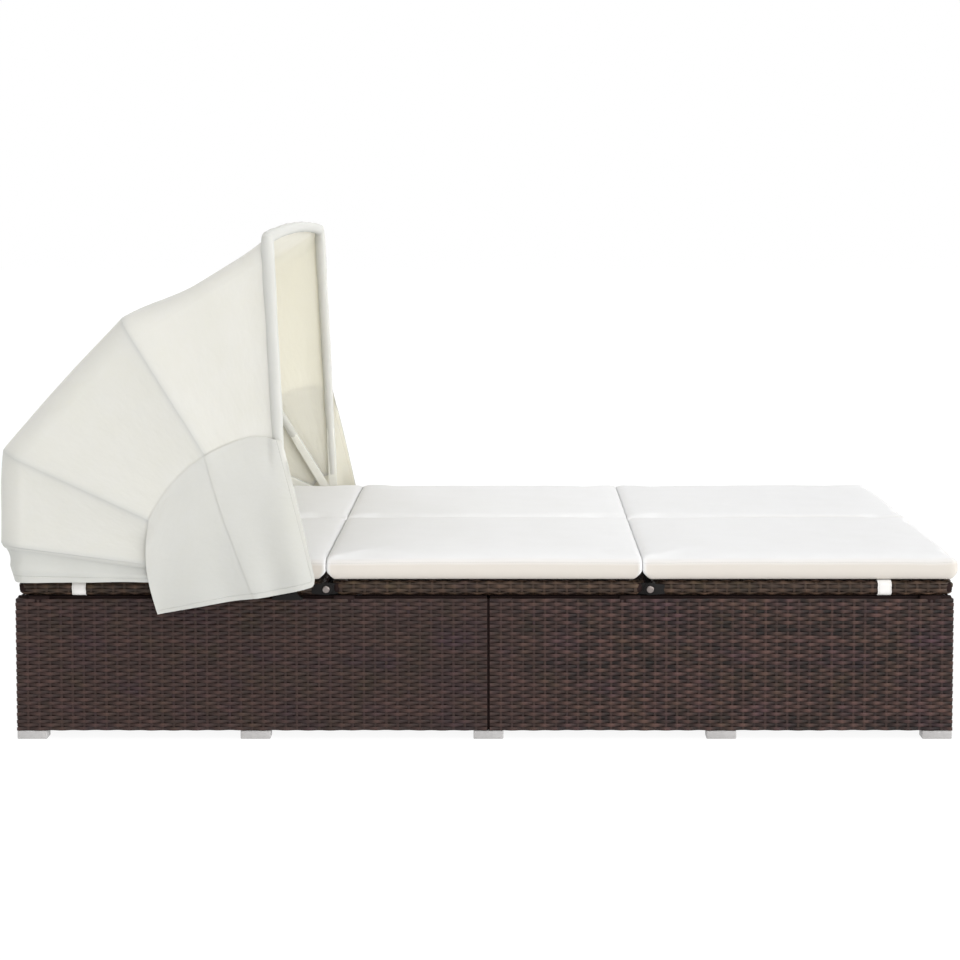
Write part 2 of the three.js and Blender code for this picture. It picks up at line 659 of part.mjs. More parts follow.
// Soft fold that closes the gap between two cushion sections, creased along its top
function cushionFold(slope) {
  const low = CUSHION_BOTTOM + FOLD_RISE - HINGE_Z;
  const high = CUSHION_EDGE_TOP - HINGE_Z;
  const half = (z) => z * slope - 1;
  const shape = new THREE.Shape();
  shape.moveTo(-half(low), low);
  shape.lineTo(half(low), low);
  shape.lineTo(half(high - FOLD_SHOULDER), high - FOLD_SHOULDER);
  shape.lineTo(half(high) - FOLD_SHOULDER - 2, high + 1);
  shape.lineTo(FOLD_CREASE, high);
  shape.lineTo(0, high - FOLD_CREASE);
  shape.lineTo(-FOLD_CREASE, high);
  shape.lineTo(FOLD_SHOULDER + 2 - half(high), high + 1);
  shape.lineTo(-half(high - FOLD_SHOULDER), high - FOLD_SHOULDER);
  return plateAlongY(shape, SECTION_HALF_WIDTH - CUSHION_MIDDLE_GAP - FOLD_SHORTER);
}

for (const side of SIDES) {
  const inner = side.sign * CUSHION_MIDDLE_GAP;
  const outer = side.sign * SECTION_HALF_WIDTH;
  const [y0, y1] = [Math.min(inner, outer), Math.max(inner, outer)];
  for (const [label, endAt] of Object.entries(cushionEnds)) {
    part(`${label}_cushion_${side.label}`, cushion(endAt, y0, y1), cushionFinish(), daybed);
  }
  const middle = (y0 + y1) / 2;
  const backFold = cushionFold(HEAD_FOLD_SLOPE);
  const legFold = cushionFold(FOOT_FOLD_SLOPE);
  part(`back_cushion_fold_${side.label}`, backFold, cushionFinish(), headHinge, 0, middle);
  part(`leg_cushion_fold_${side.label}`, legFold, cushionFinish(), footHinge, 0, middle);
}

// Bands that hold the cushions, round the side rails
function strap() {
  const room = GAP + STRAP_THICKNESS;
  const halfY = RAIL_WIDTH / 2;
  const halfZ = (RAIL_TOP - RAIL_BOTTOM) / 2;
  const shape = roundedRectangle(-halfY - room, -halfZ - room, halfY + room, halfZ + room, RAIL_EDGE + room);
  shape.holes.push(roundedRectangle(-halfY - GAP, -halfZ - GAP, halfY + GAP, halfZ + GAP, RAIL_EDGE - 1));
  const settings = { depth: STRAP_WIDTH, bevelEnabled: false, curveSegments: 2 };
  return new THREE.ExtrudeGeometry(shape, settings)
    .rotateX(Math.PI / 2)
    .rotateZ(Math.PI / 2)
    .translate(-STRAP_WIDTH / 2, 0, 0);
}
for (const side of SIDES) {
  STRAP_PLACES.forEach((x, index) => {
    part(`${["back", "leg"][index]}_strap_${side.label}`, strap(), cushionFinish(), daybed,
      x, side.sign * (SECTION_HALF_WIDTH - RAIL_WIDTH / 2), (RAIL_TOP + RAIL_BOTTOM) / 2);
  });
}

// Line of a bow in its own plane, from the near end (or from a given height on the near side) to the
// far one. Each station holds its height, its place across the bed and the direction away from the bed.
function bowStations({ radius, arch, layer }, fromHeight = null) {
  const straight = radius - BOW_CORNER;
  const crownHalf = BOW_Y - BOW_CORNER;
  const tongueY = TONGUE_FIRST_Y + TONGUE_PITCH * layer;
  const upright = { outY: -1, outZ: 0 };
  const stations = [];
  if (fromHeight === null) {
    TONGUE_OUTLINE.forEach(([height, half]) => stations.push({
      height, y: -tongueY, ...upright, thick: TONGUE_THICKNESS / 2, half, squareness: 5,
    }));
    [0.33, 0.67].forEach((share) => stations.push({
      height: THREE.MathUtils.lerp(TONGUE_END, TUBE_START, share),
      y: -THREE.MathUtils.lerp(tongueY, BOW_Y, THREE.MathUtils.smoothstep(share, 0, 1)),
      ...upright, thick: THREE.MathUtils.lerp(2, 9, share), half: 9.3, squareness: 3,
    }));
    stations.push({ height: TUBE_START, y: -BOW_Y, ...upright });
  } else {
    [0, 0.12, 0.4, 0.7].forEach((share) => stations.push({
      height: THREE.MathUtils.lerp(fromHeight, straight, share), y: -BOW_Y, ...upright,
    }));
  }
  for (let i = 0; i <= 4; i += 1) {
    const turn = (i / 4) * Math.PI / 2;
    const [outY, outZ] = [-Math.cos(turn), Math.sin(turn)];
    stations.push({ height: straight + BOW_CORNER * outZ, y: -crownHalf + BOW_CORNER * outY, outY, outZ });
  }
  for (let i = 1; i <= 4; i += 1) {
    const share = i / 4;
    stations.push({
      height: radius + arch * (1 - (1 - share) ** 2), y: -crownHalf * (1 - share), outY: 0, outZ: 1,
    });
  }
  const mirrored = stations.slice(0, -1).reverse().map((s) => ({ ...s, y: -s.y, outY: -s.outY }));
  return [...stations, ...mirrored];
}

// Section of a bow at one station: a circle, or a squarer flat shape where the tube is pressed
function bowRing({ height, y, outY, outZ, thick = BOW_TUBE, half = BOW_TUBE, squareness = 2 }) {
  return Array.from({ length: BOW_SIDES }, (_, i) => {
    const turn = ((i + 0.5) / BOW_SIDES) * 2 * Math.PI;
    const squared = (value) => Math.sign(value) * Math.abs(value) ** (2 / squareness);
    const away = thick * squared(Math.sin(turn));
    return new THREE.Vector3(half * squared(Math.cos(turn)), y + away * outY, height + away * outZ);
  });
}

// Bow: round tube bent to a U, its ends pressed flat and bored for the pivot
function bow(spec) {
  return cut(skin(bowStations(spec).map(bowRing)), rodAlongY(PIVOT_HOLE, -BOW_Y, BOW_Y, 14));
}

const pivot = new THREE.Group();
pivot.position.set(PIVOT_X, 0, PIVOT_Z);
daybed.add(pivot);
const bowTurn = (angle) => THREE.MathUtils.degToRad(angle - 90);
for (const spec of BOWS) {
  const mesh = part(spec.name, bow(spec), bowFinish(), pivot);
  mesh.rotation.y = bowTurn(spec.angle);
}

// Cloth panel stretched between two bows, laid outside their tubes
function clothEdge(spec, chordNormal, towards) {
  const lean = bowTurn(spec.angle);
  const up = new THREE.Vector3(Math.sin(lean), 0, Math.cos(lean));
  const beside = new THREE.Vector3(Math.cos(lean), 0, -Math.sin(lean)).multiplyScalar(towards * CLOTH_EDGE);
  return bowStations(spec, CLOTH_START).map(({ height, y, outY, outZ }) => {
    const centre = up.clone().multiplyScalar(height).setY(y).add(beside);
    const outwards = new THREE.Vector3(0, outY, 0).addScaledVector(chordNormal, outZ);
    return { centre, outwards, crown: outZ };
  });
}

function chordNormal(lower, upper) {
  const place = (spec) => {
    const lean = bowTurn(spec.angle);
    return new THREE.Vector3(Math.sin(lean), 0, Math.cos(lean)).multiplyScalar(spec.radius);
  };
  const chord = place(upper).sub(place(lower)).normalize();
  return new THREE.Vector3(-chord.z, 0, chord.x);
}

function clothPanel(lower, upper, sag) {
  const normal = chordNormal(lower, upper);
  const start = clothEdge(lower, normal, 1);
  const end = clothEdge(upper, normal, -1);
  const layerAt = (offset) => Array.from({ length: CLOTH_ROWS + 1 }, (_, row) => start.map((edge, i) => {
    const share = row / CLOTH_ROWS;
    const hang = 4 * share * (1 - share);
    const depth = offset - hang * THREE.MathUtils.lerp(SIDE_SAG, sag, edge.crown);
    return edge.centre.clone().lerp(end[i].centre, share).addScaledVector(edge.outwards, depth);
  }));
  return sheet(layerAt(CLOTH_OFFSET + CLOTH_THICKNESS), layerAt(CLOTH_OFFSET));
}
for (const { name, from, to, sag } of PANELS) {
  part(name, clothPanel(BOWS[from], BOWS[to], sag), clothFinish(), pivot);
}

// Skirt hanging from the rear bow to the hem
function skirt() {
  const rear = BOWS[0];
  const backwards = new THREE.Vector3(-1, 0, 0);
  const edge = clothEdge(rear, backwards, -1).filter(({ centre }) => centre.x < SKIRT_FRONT);
  const topX = -rear.radius * Math.cos(THREE.MathUtils.degToRad(rear.angle)) - CLOTH_OFFSET - CLOTH_THICKNESS;
  const tuck = HEM_X - PIVOT_X - topX;
  const layerAt = (offset) => Array.from({ length: SKIRT_ROWS + 1 }, (_, row) => edge.map((station) => {
    const share = row / SKIRT_ROWS;
    const top = station.centre.clone().addScaledVector(station.outwards, offset);
    const height = THREE.MathUtils.lerp(top.z, HEM_Z - PIVOT_Z, share);
    return new THREE.Vector3(top.x + station.crown * share * tuck, top.y, height);
  }));
  return sheet(layerAt(CLOTH_OFFSET + CLOTH_THICKNESS), layerAt(CLOTH_OFFSET));
}
part("canopy_skirt", skirt(), clothFinish(), pivot);

// Side flap: hangs over the pivot from an arc sewn to the side cloth
const flapTop = (share) => {
  const turn = THREE.MathUtils.degToRad(THREE.MathUtils.lerp(...FLAP_ARC, share));
  return new THREE.Vector2(FLAP_RADIUS * Math.cos(turn), FLAP_RADIUS * Math.sin(turn));
};
const flapHem = new THREE.SplineCurve(FLAP_HEM.map(([x, z]) => new THREE.Vector2(x, z)));

// Point of the flap at a share of the way down and along, from its lower rear to its front edge
function flapPoint(down, along) {
  const flat = flapTop(along).lerp(flapHem.getPoint(along), down);
  const bow = Math.sin(Math.PI * down);
  const bulge = THREE.MathUtils.lerp(...FLAP_BULGE, along) * bow;
  const fold = FLAP_FOLD * down * Math.sin(along * 3 * Math.PI) ** 2;
  return { x: flat.x + bulge, away: FLAP_Y + fold, z: flat.y };
}

function flap(sign) {
  const [rows, columns] = FLAP_GRID;
  const row = (down, offset) => Array.from({ length: columns + 1 }, (_, column) => {
    const { x, away, z } = flapPoint(down, column / columns);
    return new THREE.Vector3(x, sign * (away + offset), z);
  });
  const layerAt = (offset) => Array.from({ length: rows + 1 }, (_, i) => row(i / rows, offset));
  return sheet(layerAt(FLAP_THICKNESS), layerAt(0));
}

// Bracket screwed down on the base, its pivot eye standing outside the rail
function canopyBracket() {
  const bottom = PANEL_TOP + GAP - PIVOT_Z;
  const [footHalf, footDepth] = BRACKET_FOOT;
  const shape = new THREE.Shape();
  shape.moveTo(-footHalf, bottom);
  shape.lineTo(footHalf, bottom);
  shape.lineTo(footHalf, bottom + PLATE_THICKNESS);
  shape.quadraticCurveTo(BRACKET_NECK, bottom + PLATE_THICKNESS + 3, BRACKET_NECK, -PLATE_THICKNESS);
  shape.absarc(0, 0, BRACKET_NECK, 0, Math.PI, false);
  shape.lineTo(-BRACKET_NECK, -PLATE_THICKNESS);
  shape.quadraticCurveTo(-BRACKET_NECK, bottom + PLATE_THICKNESS + 3, -footHalf, bottom + PLATE_THICKNESS);
  const plate = plateAlongY(shape, PLATE_THICKNESS, 6).translate(0, PLATE_THICKNESS / 2, 0);
  const foot = box(2 * footHalf, footDepth, PLATE_THICKNESS, 0, -footDepth / 2 + 1, bottom + PLATE_THICKNESS / 2);
  const [headRadius, headHeight] = BRACKET_SCREW;
  const heads = [-BRACKET_SCREW_X, BRACKET_SCREW_X].map((x) =>
    new THREE.CylinderGeometry(headRadius, headRadius, headHeight + GAP, 10)
      .rotateX(Math.PI / 2)
      .translate(x, -footDepth / 2, bottom + PLATE_THICKNESS + (headHeight - GAP) / 2));
  return cut(joined(plate, foot, ...heads), rodAlongY(PIVOT_HOLE, -BRACKET_NECK, BRACKET_NECK, 14));
}

// Knob that clamps the stack of bow ends on its stud
function canopyKnob() {
  const from = TONGUE_FIRST_Y + TONGUE_PITCH * 3 + TONGUE_THICKNESS / 2 + GAP;
  const outline = Array.from({ length: 30 }, (_, i) => {
    const turn = (i / 30) * 2 * Math.PI;
    const radius = KNOB_RADIUS + KNOB_LOBE_DEPTH * Math.cos(KNOB_LOBES * turn);
    return new THREE.Vector2(radius * Math.cos(turn), radius * Math.sin(turn));
  });
  const [collarRadius, collarLength] = KNOB_COLLAR;
  const grip = slab(new THREE.Shape(outline), 0, KNOB_DEPTH, KNOB_EDGE, 1, 1)
    .rotateX(-Math.PI / 2)
    .translate(0, from + collarLength - KNOB_EDGE, 0);
  const collar = rodAlongY(collarRadius, from, from + collarLength, 14);
  const stud = rodAlongY(PIVOT_STUD, BASE_WIDTH / 2 + 1, from + collarLength - 1, 12);
  return joined(grip, collar, stud);
}

for (const side of SIDES) {
  const bracket = part(`canopy_bracket_${side.label}`, canopyBracket(), steelFinish(), pivot,
    0, side.sign * (BASE_WIDTH / 2 + GAP));
  bracket.rotation.z = side.sign < 0 ? Math.PI : 0;
  const knob = part(`canopy_knob_${side.label}`, canopyKnob(), knobFinish(), pivot);
  knob.rotation.z = side.sign < 0 ? Math.PI : 0;
  part(`canopy_flap_${side.label}`, flap(side.sign), clothFinish(), pivot);
}

export default daybed;
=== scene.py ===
import math
from collections import Counter

import bpy
import numpy as np
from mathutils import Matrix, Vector, noise


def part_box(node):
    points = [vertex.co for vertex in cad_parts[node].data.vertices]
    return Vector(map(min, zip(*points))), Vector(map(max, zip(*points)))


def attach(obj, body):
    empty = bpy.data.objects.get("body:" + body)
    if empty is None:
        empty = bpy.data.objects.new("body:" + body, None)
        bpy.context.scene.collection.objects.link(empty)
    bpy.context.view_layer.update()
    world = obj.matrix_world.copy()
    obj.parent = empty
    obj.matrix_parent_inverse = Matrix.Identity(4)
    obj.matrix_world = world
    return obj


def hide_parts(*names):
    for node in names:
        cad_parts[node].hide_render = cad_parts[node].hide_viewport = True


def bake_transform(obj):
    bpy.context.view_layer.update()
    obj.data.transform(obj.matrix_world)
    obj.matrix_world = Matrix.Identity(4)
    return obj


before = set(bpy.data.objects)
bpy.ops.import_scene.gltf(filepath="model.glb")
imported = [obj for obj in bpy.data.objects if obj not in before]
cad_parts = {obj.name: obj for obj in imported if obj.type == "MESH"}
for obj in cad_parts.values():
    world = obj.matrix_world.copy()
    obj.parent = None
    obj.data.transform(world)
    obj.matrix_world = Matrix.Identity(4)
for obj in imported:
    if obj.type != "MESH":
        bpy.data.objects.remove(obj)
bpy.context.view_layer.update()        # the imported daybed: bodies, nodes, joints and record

# All sizes are in metres. The tone of a strand runs from 0, dark, to 1, light.
MIDDLE_X = 0.0129       # middle of the bed, from which the places of its sections are counted
SIDES = {"near": -1, "far": 1}

# Woven base
PANEL_DEPTH = 0.028
PANEL_HEIGHT = 0.283
MAT_DEPTH = 0.0084
MAT_END_GAP = 0.0004
ROW_PITCH = 0.0079
WARP_PITCH = 0.0238
STRAND_WIDTH = 0.0075
STRAND_THICKNESS = 0.0021
STRAND_SWING = 0.0019
STAKE_WIDTH, STAKE_THICKNESS = 0.0060, 0.0014
STAKE_INSET = 0.001
POST_WIDTH, POST_ROUND = 0.050, 0.0016
CORE_INSET, CORE_ROUND = 0.002, 0.001
SEAM_OPENING = 0.0022   # how far each mat stays back from the seam in the middle of a long side
SEAM_FILL = 0.0006      # how far the dark cores reach past it, so that no light comes through
LIP_TOP = 0.3065        # top edge of the base's frame, which closes the view in under the rails
LIP_WIDTH, LIP_BACK = 0.010, 0.0065
LIP_END_GAP, LIP_ROOT = 0.003, 0.002
BRACKET_HALF_GAP = 0.020
REST_PADS = (-0.950, -0.300, 0.310, 0.950)
REST_PAD_SIZE, REST_PAD_ROUND, REST_PAD_SINK = (0.044, 0.020, 0.0167), 0.002, 0.0010
FOOT_ROUND = 0.0025
# Ranges of tone of a row of strands, of each crossing in it, of the stakes and of the wound posts
ROW_TONES, CROSSING_TONES, STAKE_TONES, POST_TONES = (0.38, 0.62), (-0.24, 0.24), (0.24, 0.44), (0.22, 0.42)
STRAND_WANDER_UP, STRAND_WANDER_OUT = 0.0003, 0.00025
# Painted light: the foot half of the base is painted lighter and more lively than the head half, as the light
# falls from the foot end
MIDDLE_TONE, HEAD_CONTRAST, FOOT_CONTRAST, HEAD_SHADED_LIGHTNESS = 0.44, 0.75, 1.35, 0.84

# Section frames, their woven covers and decks
RAIL_WIDTH = 0.028
RAIL_HEIGHT = 0.0315
RAIL_CORNER = 0.032
RAIL_ROUND = 0.0085
RAIL_SWING = 0.0017
RAIL_CORE_INSET, RAIL_CORE_ROUND = 0.0060, 0.006
RAIL_HALF_WIDTH = 0.597
RAIL_MIDDLE_Z = 0.32425
RAILS = {
    "back_frame": (-0.999 + MIDDLE_X, -0.348 + MIDDLE_X),
    "seat_frame": (-0.328 + MIDDLE_X, 0.343 + MIDDLE_X),
    "leg_frame": (0.363 + MIDDLE_X, 1.004 + MIDDLE_X),
}
SECTION_BODY = {"back": "backrest", "seat": "root", "leg": "legrest"}
FROM_HINGE = {"back": -1, "leg": 1}     # which way along x a moving section runs from its hinge
DECK_BAND = 0.021
DECK_BAND_THICKNESS, DECK_SWING, DECK_WARP = 0.0022, 0.0012, 0.030
DECK_TOP_GAP, DECK_BACKING = 0.0030, 0.003
HINGE_X = {"back": -0.338 + MIDDLE_X, "leg": 0.353 + MIDDLE_X}
HINGE_Z = 0.322
LUG_RADIUS = 0.013
LUG_END_HALF = 0.00975
LUG_THICKNESS = 0.004
MOVING_LUG_Y, FIXED_LUG_Y = 0.590, 0.585
MOVING_LUG_REACH, FIXED_LUG_REACH = 0.031, 0.033
RIB_Y, RIB_Z, RIB_SIZE, RIB_ROUND = 0.300, 0.3214, 0.020, 0.0015
EAR_RADIUS, EAR_THICKNESS, EAR_Z, EAR_TOP = 0.012, 0.006, 0.297, 0.314
EAR_FROM_HINGE, EAR_SPREAD = 0.420, 1.15
# Radius, length, distance from the bed's middle line and sides of a hinge bolt's pieces
BOLT_HEAD = (0.008, 0.0055, 0.59505, 32)
BOLT_SHANK = (0.004, 0.017, 0.585, 16)
BOLT_NUT = (0.0068, 0.006, 0.5797, 6)
BOLT_DOME, METAL_ROUND = 0.0022, 0.0007

# Cushions
CUSHION_ENDS = (-0.985 + MIDDLE_X, 1.009 + MIDDLE_X)
CUSHION_Z = (0.3425, 0.3865)
CUSHION_HALF_WIDTH, CUSHION_HALF_GAP = 0.597, 0.0012
LEG_SEAM_X = HINGE_X["leg"] - 0.017
CUSHION_SPANS = {       # ends of each section, and which of them are seams
    "back": (CUSHION_ENDS[0], HINGE_X["back"], (1,)),
    "seat": (HINGE_X["back"], LEG_SEAM_X, (-1, 1)),
    "leg": (LEG_SEAM_X, CUSHION_ENDS[1], (-1,)),
}
CUSHION_CELL = 0.012
CUSHION_LEVELS = (0.24, 0.40, 0.56, 0.72, 0.86)
CUSHION_ROUND_TOP = 0.006
CUSHION_ROUND_BOTTOM = 0.008
CUSHION_CORNER, SEAM_CORNER = 0.015, 0.004
CUSHION_NOTCH = 0.016
CUSHION_CROWN, CROWN_REACH = 0.006, 0.15
CUSHION_CAP = 0.005     # farthest that the filling may move a point of a cover
BULGE_ROOM, SEAM_CLEAR, SIDE_CLEAR = 0.004, 0.0004, 0.0002
# How far the sides stand out and draw in, how far in from the edge this reaches, and how far the top
# sinks at its rim and at a seam
SIDE_BULGE, SIDE_DRAW, SIDE_REACH = 0.0022, 0.0015, 0.02
RIM_DIP, SEAM_DIP = 0.0012, 0.0022
SEAM_ROUNDING = 0.35    # how far the upper rim is rounded at a seam, as a share of the other rims
# The seam's wall keeps its full tone, and the rim's band takes painted shade
SEAM_WALL, RIM_BAND = 0.008, 0.013      # how far in from its edge a seam's wall and the rim reach
WELT_HEIGHT = 0.86      # height of the stitched line round the sides, as a share of the depth
FILLING = {"quality": 4, "mass": 0.3, "tension_stiffness": 18, "compression_stiffness": 12,
           "shear_stiffness": 8, "bending_stiffness": 0.6, "use_pressure": True,
           "uniform_pressure_force": 4, "vertex_group_mass": "Held"}
FILLING_FRAMES = 20
OUTER_HALF_Y = 0.3      # past it the filling may also move a cover sideways
# Heights of the cover's soft folds: broad, fine, and along a seam
BROAD_FOLD, FINE_FOLD, SEAM_FOLD, SEAM_FOLD_REACH = 0.0016, 0.0007, 0.0009, 0.035
STRAP_CORNER, STRAP_CLEAR, STRAP_THICKNESS = 0.0115, 0.0004, 0.0011

# Canopy
PIVOT = Vector((-0.4071, 0.0, 0.344))
ACROSS_BED = np.array([0.0, 1.0, 0.0])
TO_HEAD = np.array([-1.0, 0.0, 0.0])
# Each bow's angle above the line to the head, its reach from the pivot and the arch of its crown
BOWS = {
    "rear": (math.radians(7.6), 0.603, 0.003),
    "low": (math.radians(24.8), 0.651, 0.006),
    "middle": (math.radians(58.2), 0.645, 0.012),
    "front": (math.radians(87.2), 0.730, 0.012),
}
BOW_BODY = {"rear": "root", "low": "bow_low", "middle": "bow_middle", "front": "bow_front"}
BOW_HALF_SPAN = 0.626
BOW_CORNER = 0.045
BOW_RADIUS = 0.0095
LEG_STEPS, CORNER_STEPS, CROWN_STEPS = 40, 16, 30
# Pressed end of a bow: where it lies across the bed, and its half width by height over the pivot
TONGUE_Y, TONGUE_PITCH = 0.6062, 0.0035
TONGUE_END, TUBE_START, NECK_STEPS = 0.168, 0.222, 13
TONGUE_HALF_THICKNESS, NECK_HALF_WIDTH = 0.0016, 0.0090
TONGUE_OUTLINE = ((-0.0110, 0.002), (-0.0104, 0.004), (-0.008, 0.008), (-0.003, 0.0106), (0.006, 0.011),
                  (0.060, 0.011), (0.168, 0.009))
FLAT_SQUARENESS, ROUND_SQUARENESS, SLEEVE_SQUARENESS = 5.0, 2.0, 2.2

# The hood's cloth
CLOTH_CLEAR = 0.0128    # from a bow's middle line to the cloth over it
CLOTH_START = 0.070
CLOTH_THICKNESS = 0.0012
ACROSS_STEPS = 40
HEM_WIDTH = 0.012
# Painted shade and light: a tone of 0.8 paints the cloth fully in its deep colour, and a tone of 1.2 paints
# it fully in the lit colour of the hood's inside
SHADE_TONE, INSIDE_LIGHT_TONE = 0.8, 1.2
# The bows that a panel joins, its tone, painted shade that darkens the panels towards the rear, its slack at
# the crown and at the sides, and its dip before the second bow at the crown and at the sides
PANELS = {
    "rear": ("rear", "low", 0.95, -0.002, 0.005, 0.0, 0.0),
    "middle": ("low", "middle", 0.965, -0.003, 0.004, 0.0, 0.0),
    "front": ("middle", "front", 1.0, 0.020, 0.006, 0.010, 0.006),
}
RIPPLE = 0.0035
# Painted shadow along each bow and its reach, and painted shade where a flap doubles the cloth
BOW_SHADOW, BOW_SHADOW_REACH, DOUBLED_SHADE = 0.085, 0.0055, 0.03
CHANNEL_RADIUS = 0.0112
# Painted shade: the channels are painted darker to match the shaded inside of the hood
CHANNEL_TONES = {"rear": 0.88, "low": 0.92, "middle": 0.92}
SLEEVE_THICK, SLEEVE_STAND, SLEEVE_WAVER = 0.0125, 0.014, 0.05
SLEEVE_HALF_LOW, SLEEVE_HALF_HIGH = 0.0108, 0.0138
# Painted shade on the front sleeve, less on its far side
SLEEVE_TONE, SLEEVE_FAR_TONE = 0.90, 0.96
CORNER_SPARE = 0.414    # how much farther out the corner of a square is than its side
SKIRT_FRONT = -0.150
SKIRT_ROWS = 18
SKIRT_FOLDS = ((0.0040, 19, 1.0), (0.0022, 47, 2.0))    # height, pace along the skirt and start
SKIRT_TUCK, SKIRT_FLARE = 0.007, 0.002      # how far it draws in below the bow and stands out at its hem
# Painted shade: the skirt is painted darker, most of all at its top under the bow
SKIRT_TONE, SKIRT_TOP_SHADE, SKIRT_TOP_SHARE = 0.84, 0.04, 0.12
HEM_Z = 0.345
HEM_X = -1.006 + MIDDLE_X
# Side flap, seen from the side with the pivot as its origin
FLAP_Y = 0.6445
FLAP_RADIUS = 0.317
FLAP_ARC = (math.radians(155), math.radians(91))
FLAP_HEM = ((-0.269, -0.066), (-0.125, -0.040), (-0.020, -0.026), (0.066, -0.006))
FLAP_CORNER = 0.07
FLAP_SPLIT, FLAP_OVERLAP, FLAP_LAP = 0.515, 0.03, 0.0014
FLAP_FEEL, FLAP_LAID = 0.009, 0.0013
FLAP_ROWS, FLAP_COLUMNS = 36, 44
# Painted shade: the flap is painted darker than the hood and darker still towards its hem
FLAP_TONE, FLAP_HEM_SHADE = 0.945, 0.085
FLAP_DROP = 0.014       # how far its top draws in at the front, and its rear edge bows out
FLAP_FOLD, FLAP_WAVE, FLAP_SOFTNESS = 0.004, 0.0022, 0.002

# Surroundings
FLOOR_Z = -0.0005
CAMERA_PLACE = Vector((0.0689, -5.1597, 1.1522))
CAMERA_AIM = Vector((0.0689, 0.0, 0.8485))
CAMERA_LENS = 81.06
CAMERA_SHIFT_X, CAMERA_SHIFT_Y = -0.0322, -0.16
SKY_STOPS = ((0.10, (1.0, 1.0, 1.0, 1.0)), (0.30, (0.35, 0.35, 0.35, 1.0)))
# Where each soft light comes from, its strength and its spread in degrees
LIGHTS = {
    "soft_top_light": ((-0.35, -0.5, 1.6), 1.4, 70),
    "soft_front_light": ((0.6, -1.2, 0.3), 1.4, 50),
    "soft_back_light": ((-0.3, 1.0, 0.55), 0.6, 60),
    "soft_foot_light": ((1.0, -0.25, 0.25), 1.8, 40),
}


# Working with objects
def deselect():
    if bpy.context.object and bpy.context.object.mode != "OBJECT":
        bpy.ops.object.mode_set(mode="OBJECT")
    bpy.ops.object.select_all(action="DESELECT")


def only(piece):
    deselect()
    piece.select_set(True)
    bpy.context.view_layer.objects.active = piece
    return piece


def newest(name):
    piece = bpy.context.object
    piece.name = name
    piece.data.name = name
    return piece


def settle(piece):
    only(piece)
    bpy.ops.object.transform_apply(location=True, rotation=True, scale=True)
    return piece


def apply_modifiers(piece):
    only(piece)
    for modifier in list(piece.modifiers):
        bpy.ops.object.modifier_apply(modifier=modifier.name)
    return piece


def modified(piece, kind, **settings):
    modifier = piece.modifiers.new(kind.title(), kind)
    for key, value in settings.items():
        setattr(modifier, key, value)
    return modifier


def duplicate(piece, name):
    copy = piece.copy()
    copy.data = piece.data.copy()
    copy.name = copy.data.name = name
    bpy.context.scene.collection.objects.link(copy)
    return copy


def join(name, *pieces):
    deselect()
    for piece in pieces:
        piece.select_set(True)
    bpy.context.view_layer.objects.active = pieces[0]
    bpy.ops.object.join()
    pieces[0].name = pieces[0].data.name = name
    return pieces[0]


def points_of(piece):
    co = np.empty(len(piece.data.vertices) * 3)
    piece.data.vertices.foreach_get("co", co)
    return co.reshape(-1, 3)


def set_points(piece, points):
    piece.data.vertices.foreach_set("co", np.asarray(points, dtype=np.float32).ravel())
    piece.data.update()
    return piece


def select_parts(piece, parts, test):
    """Selects the faces or edges that pass the test, with their points, and nothing else."""
    deselect()
    mesh = piece.data
    for part in (*mesh.polygons, *mesh.edges, *mesh.vertices):
        part.select = False
    for part in parts:
        if test(part):
            part.select = True
            for index in part.vertices:
                mesh.vertices[index].select = True
    only(piece)


def select_edges(piece, test):
    """Selects the edges whose two ends pass the test."""
    points = piece.data.vertices
    select_parts(piece, piece.data.edges, lambda edge: test(*(points[index].co for index in edge.vertices)))


def edit(mode, *steps):
    """Runs edit-mode steps, each an operator and its settings, on the active piece."""
    bpy.context.tool_settings.mesh_select_mode = [mode == kind for kind in ("VERT", "EDGE", "FACE")]
    bpy.ops.object.mode_set(mode="EDIT")
    for operator, settings in steps:
        operator(**settings)
    bpy.ops.object.mode_set(mode="OBJECT")


def edit_all(mode, operator, **settings):
    """Runs one edit-mode operator on the whole of the active piece."""
    edit(mode, (bpy.ops.mesh.select_all, {"action": "SELECT"}), (operator, settings))


def outwards(piece):
    only(piece)
    edit_all("FACE", bpy.ops.mesh.normals_make_consistent, inside=False)
    return piece


def merge_points(piece, threshold=0.0003):
    only(piece)
    edit_all("VERT", bpy.ops.mesh.remove_doubles, threshold=threshold)
    return piece


def repeated(piece, count, step, **settings):
    """A row of copies of the piece, one step apart."""
    modified(piece, "ARRAY", count=count, use_relative_offset=False, use_constant_offset=True,
             constant_offset_displace=step, **settings)
    return apply_modifiers(piece)


def thickened(piece, thickness, **settings):
    modified(piece, "SOLIDIFY", thickness=thickness, offset=-1, **settings)
    return apply_modifiers(piece)


def smooth(piece, angle=40):
    only(piece)
    bpy.ops.object.shade_smooth_by_angle(angle=math.radians(angle))
    return piece


def set_uv(piece, points_uv):
    """Stores a flat position in metres for each vertex as the piece's UV map."""
    layer = piece.data.uv_layers.get("Flat") or piece.data.uv_layers.new(name="Flat")
    corners = np.empty(len(piece.data.loops), dtype=np.int64)
    piece.data.loops.foreach_get("vertex_index", corners)
    layer.data.foreach_set("uv", np.asarray(points_uv, dtype=np.float32)[corners].ravel())


def set_value(piece, name, values):
    attribute = piece.data.attributes.get(name) or piece.data.attributes.new(name, "FLOAT", "POINT")
    attribute.data.foreach_set("value", np.asarray(values, dtype=np.float32))


def values_of(piece, name):
    values = np.empty(len(piece.data.vertices))
    piece.data.attributes[name].data.foreach_get("value", values)
    return values


def ease(share):
    """Runs from 0 to 1 with a soft start and end."""
    share = np.clip(share, 0, 1)
    return share * share * (3 - 2 * share)


def dress(piece, material):
    piece.data.materials.clear()
    piece.data.materials.append(material)
    return piece


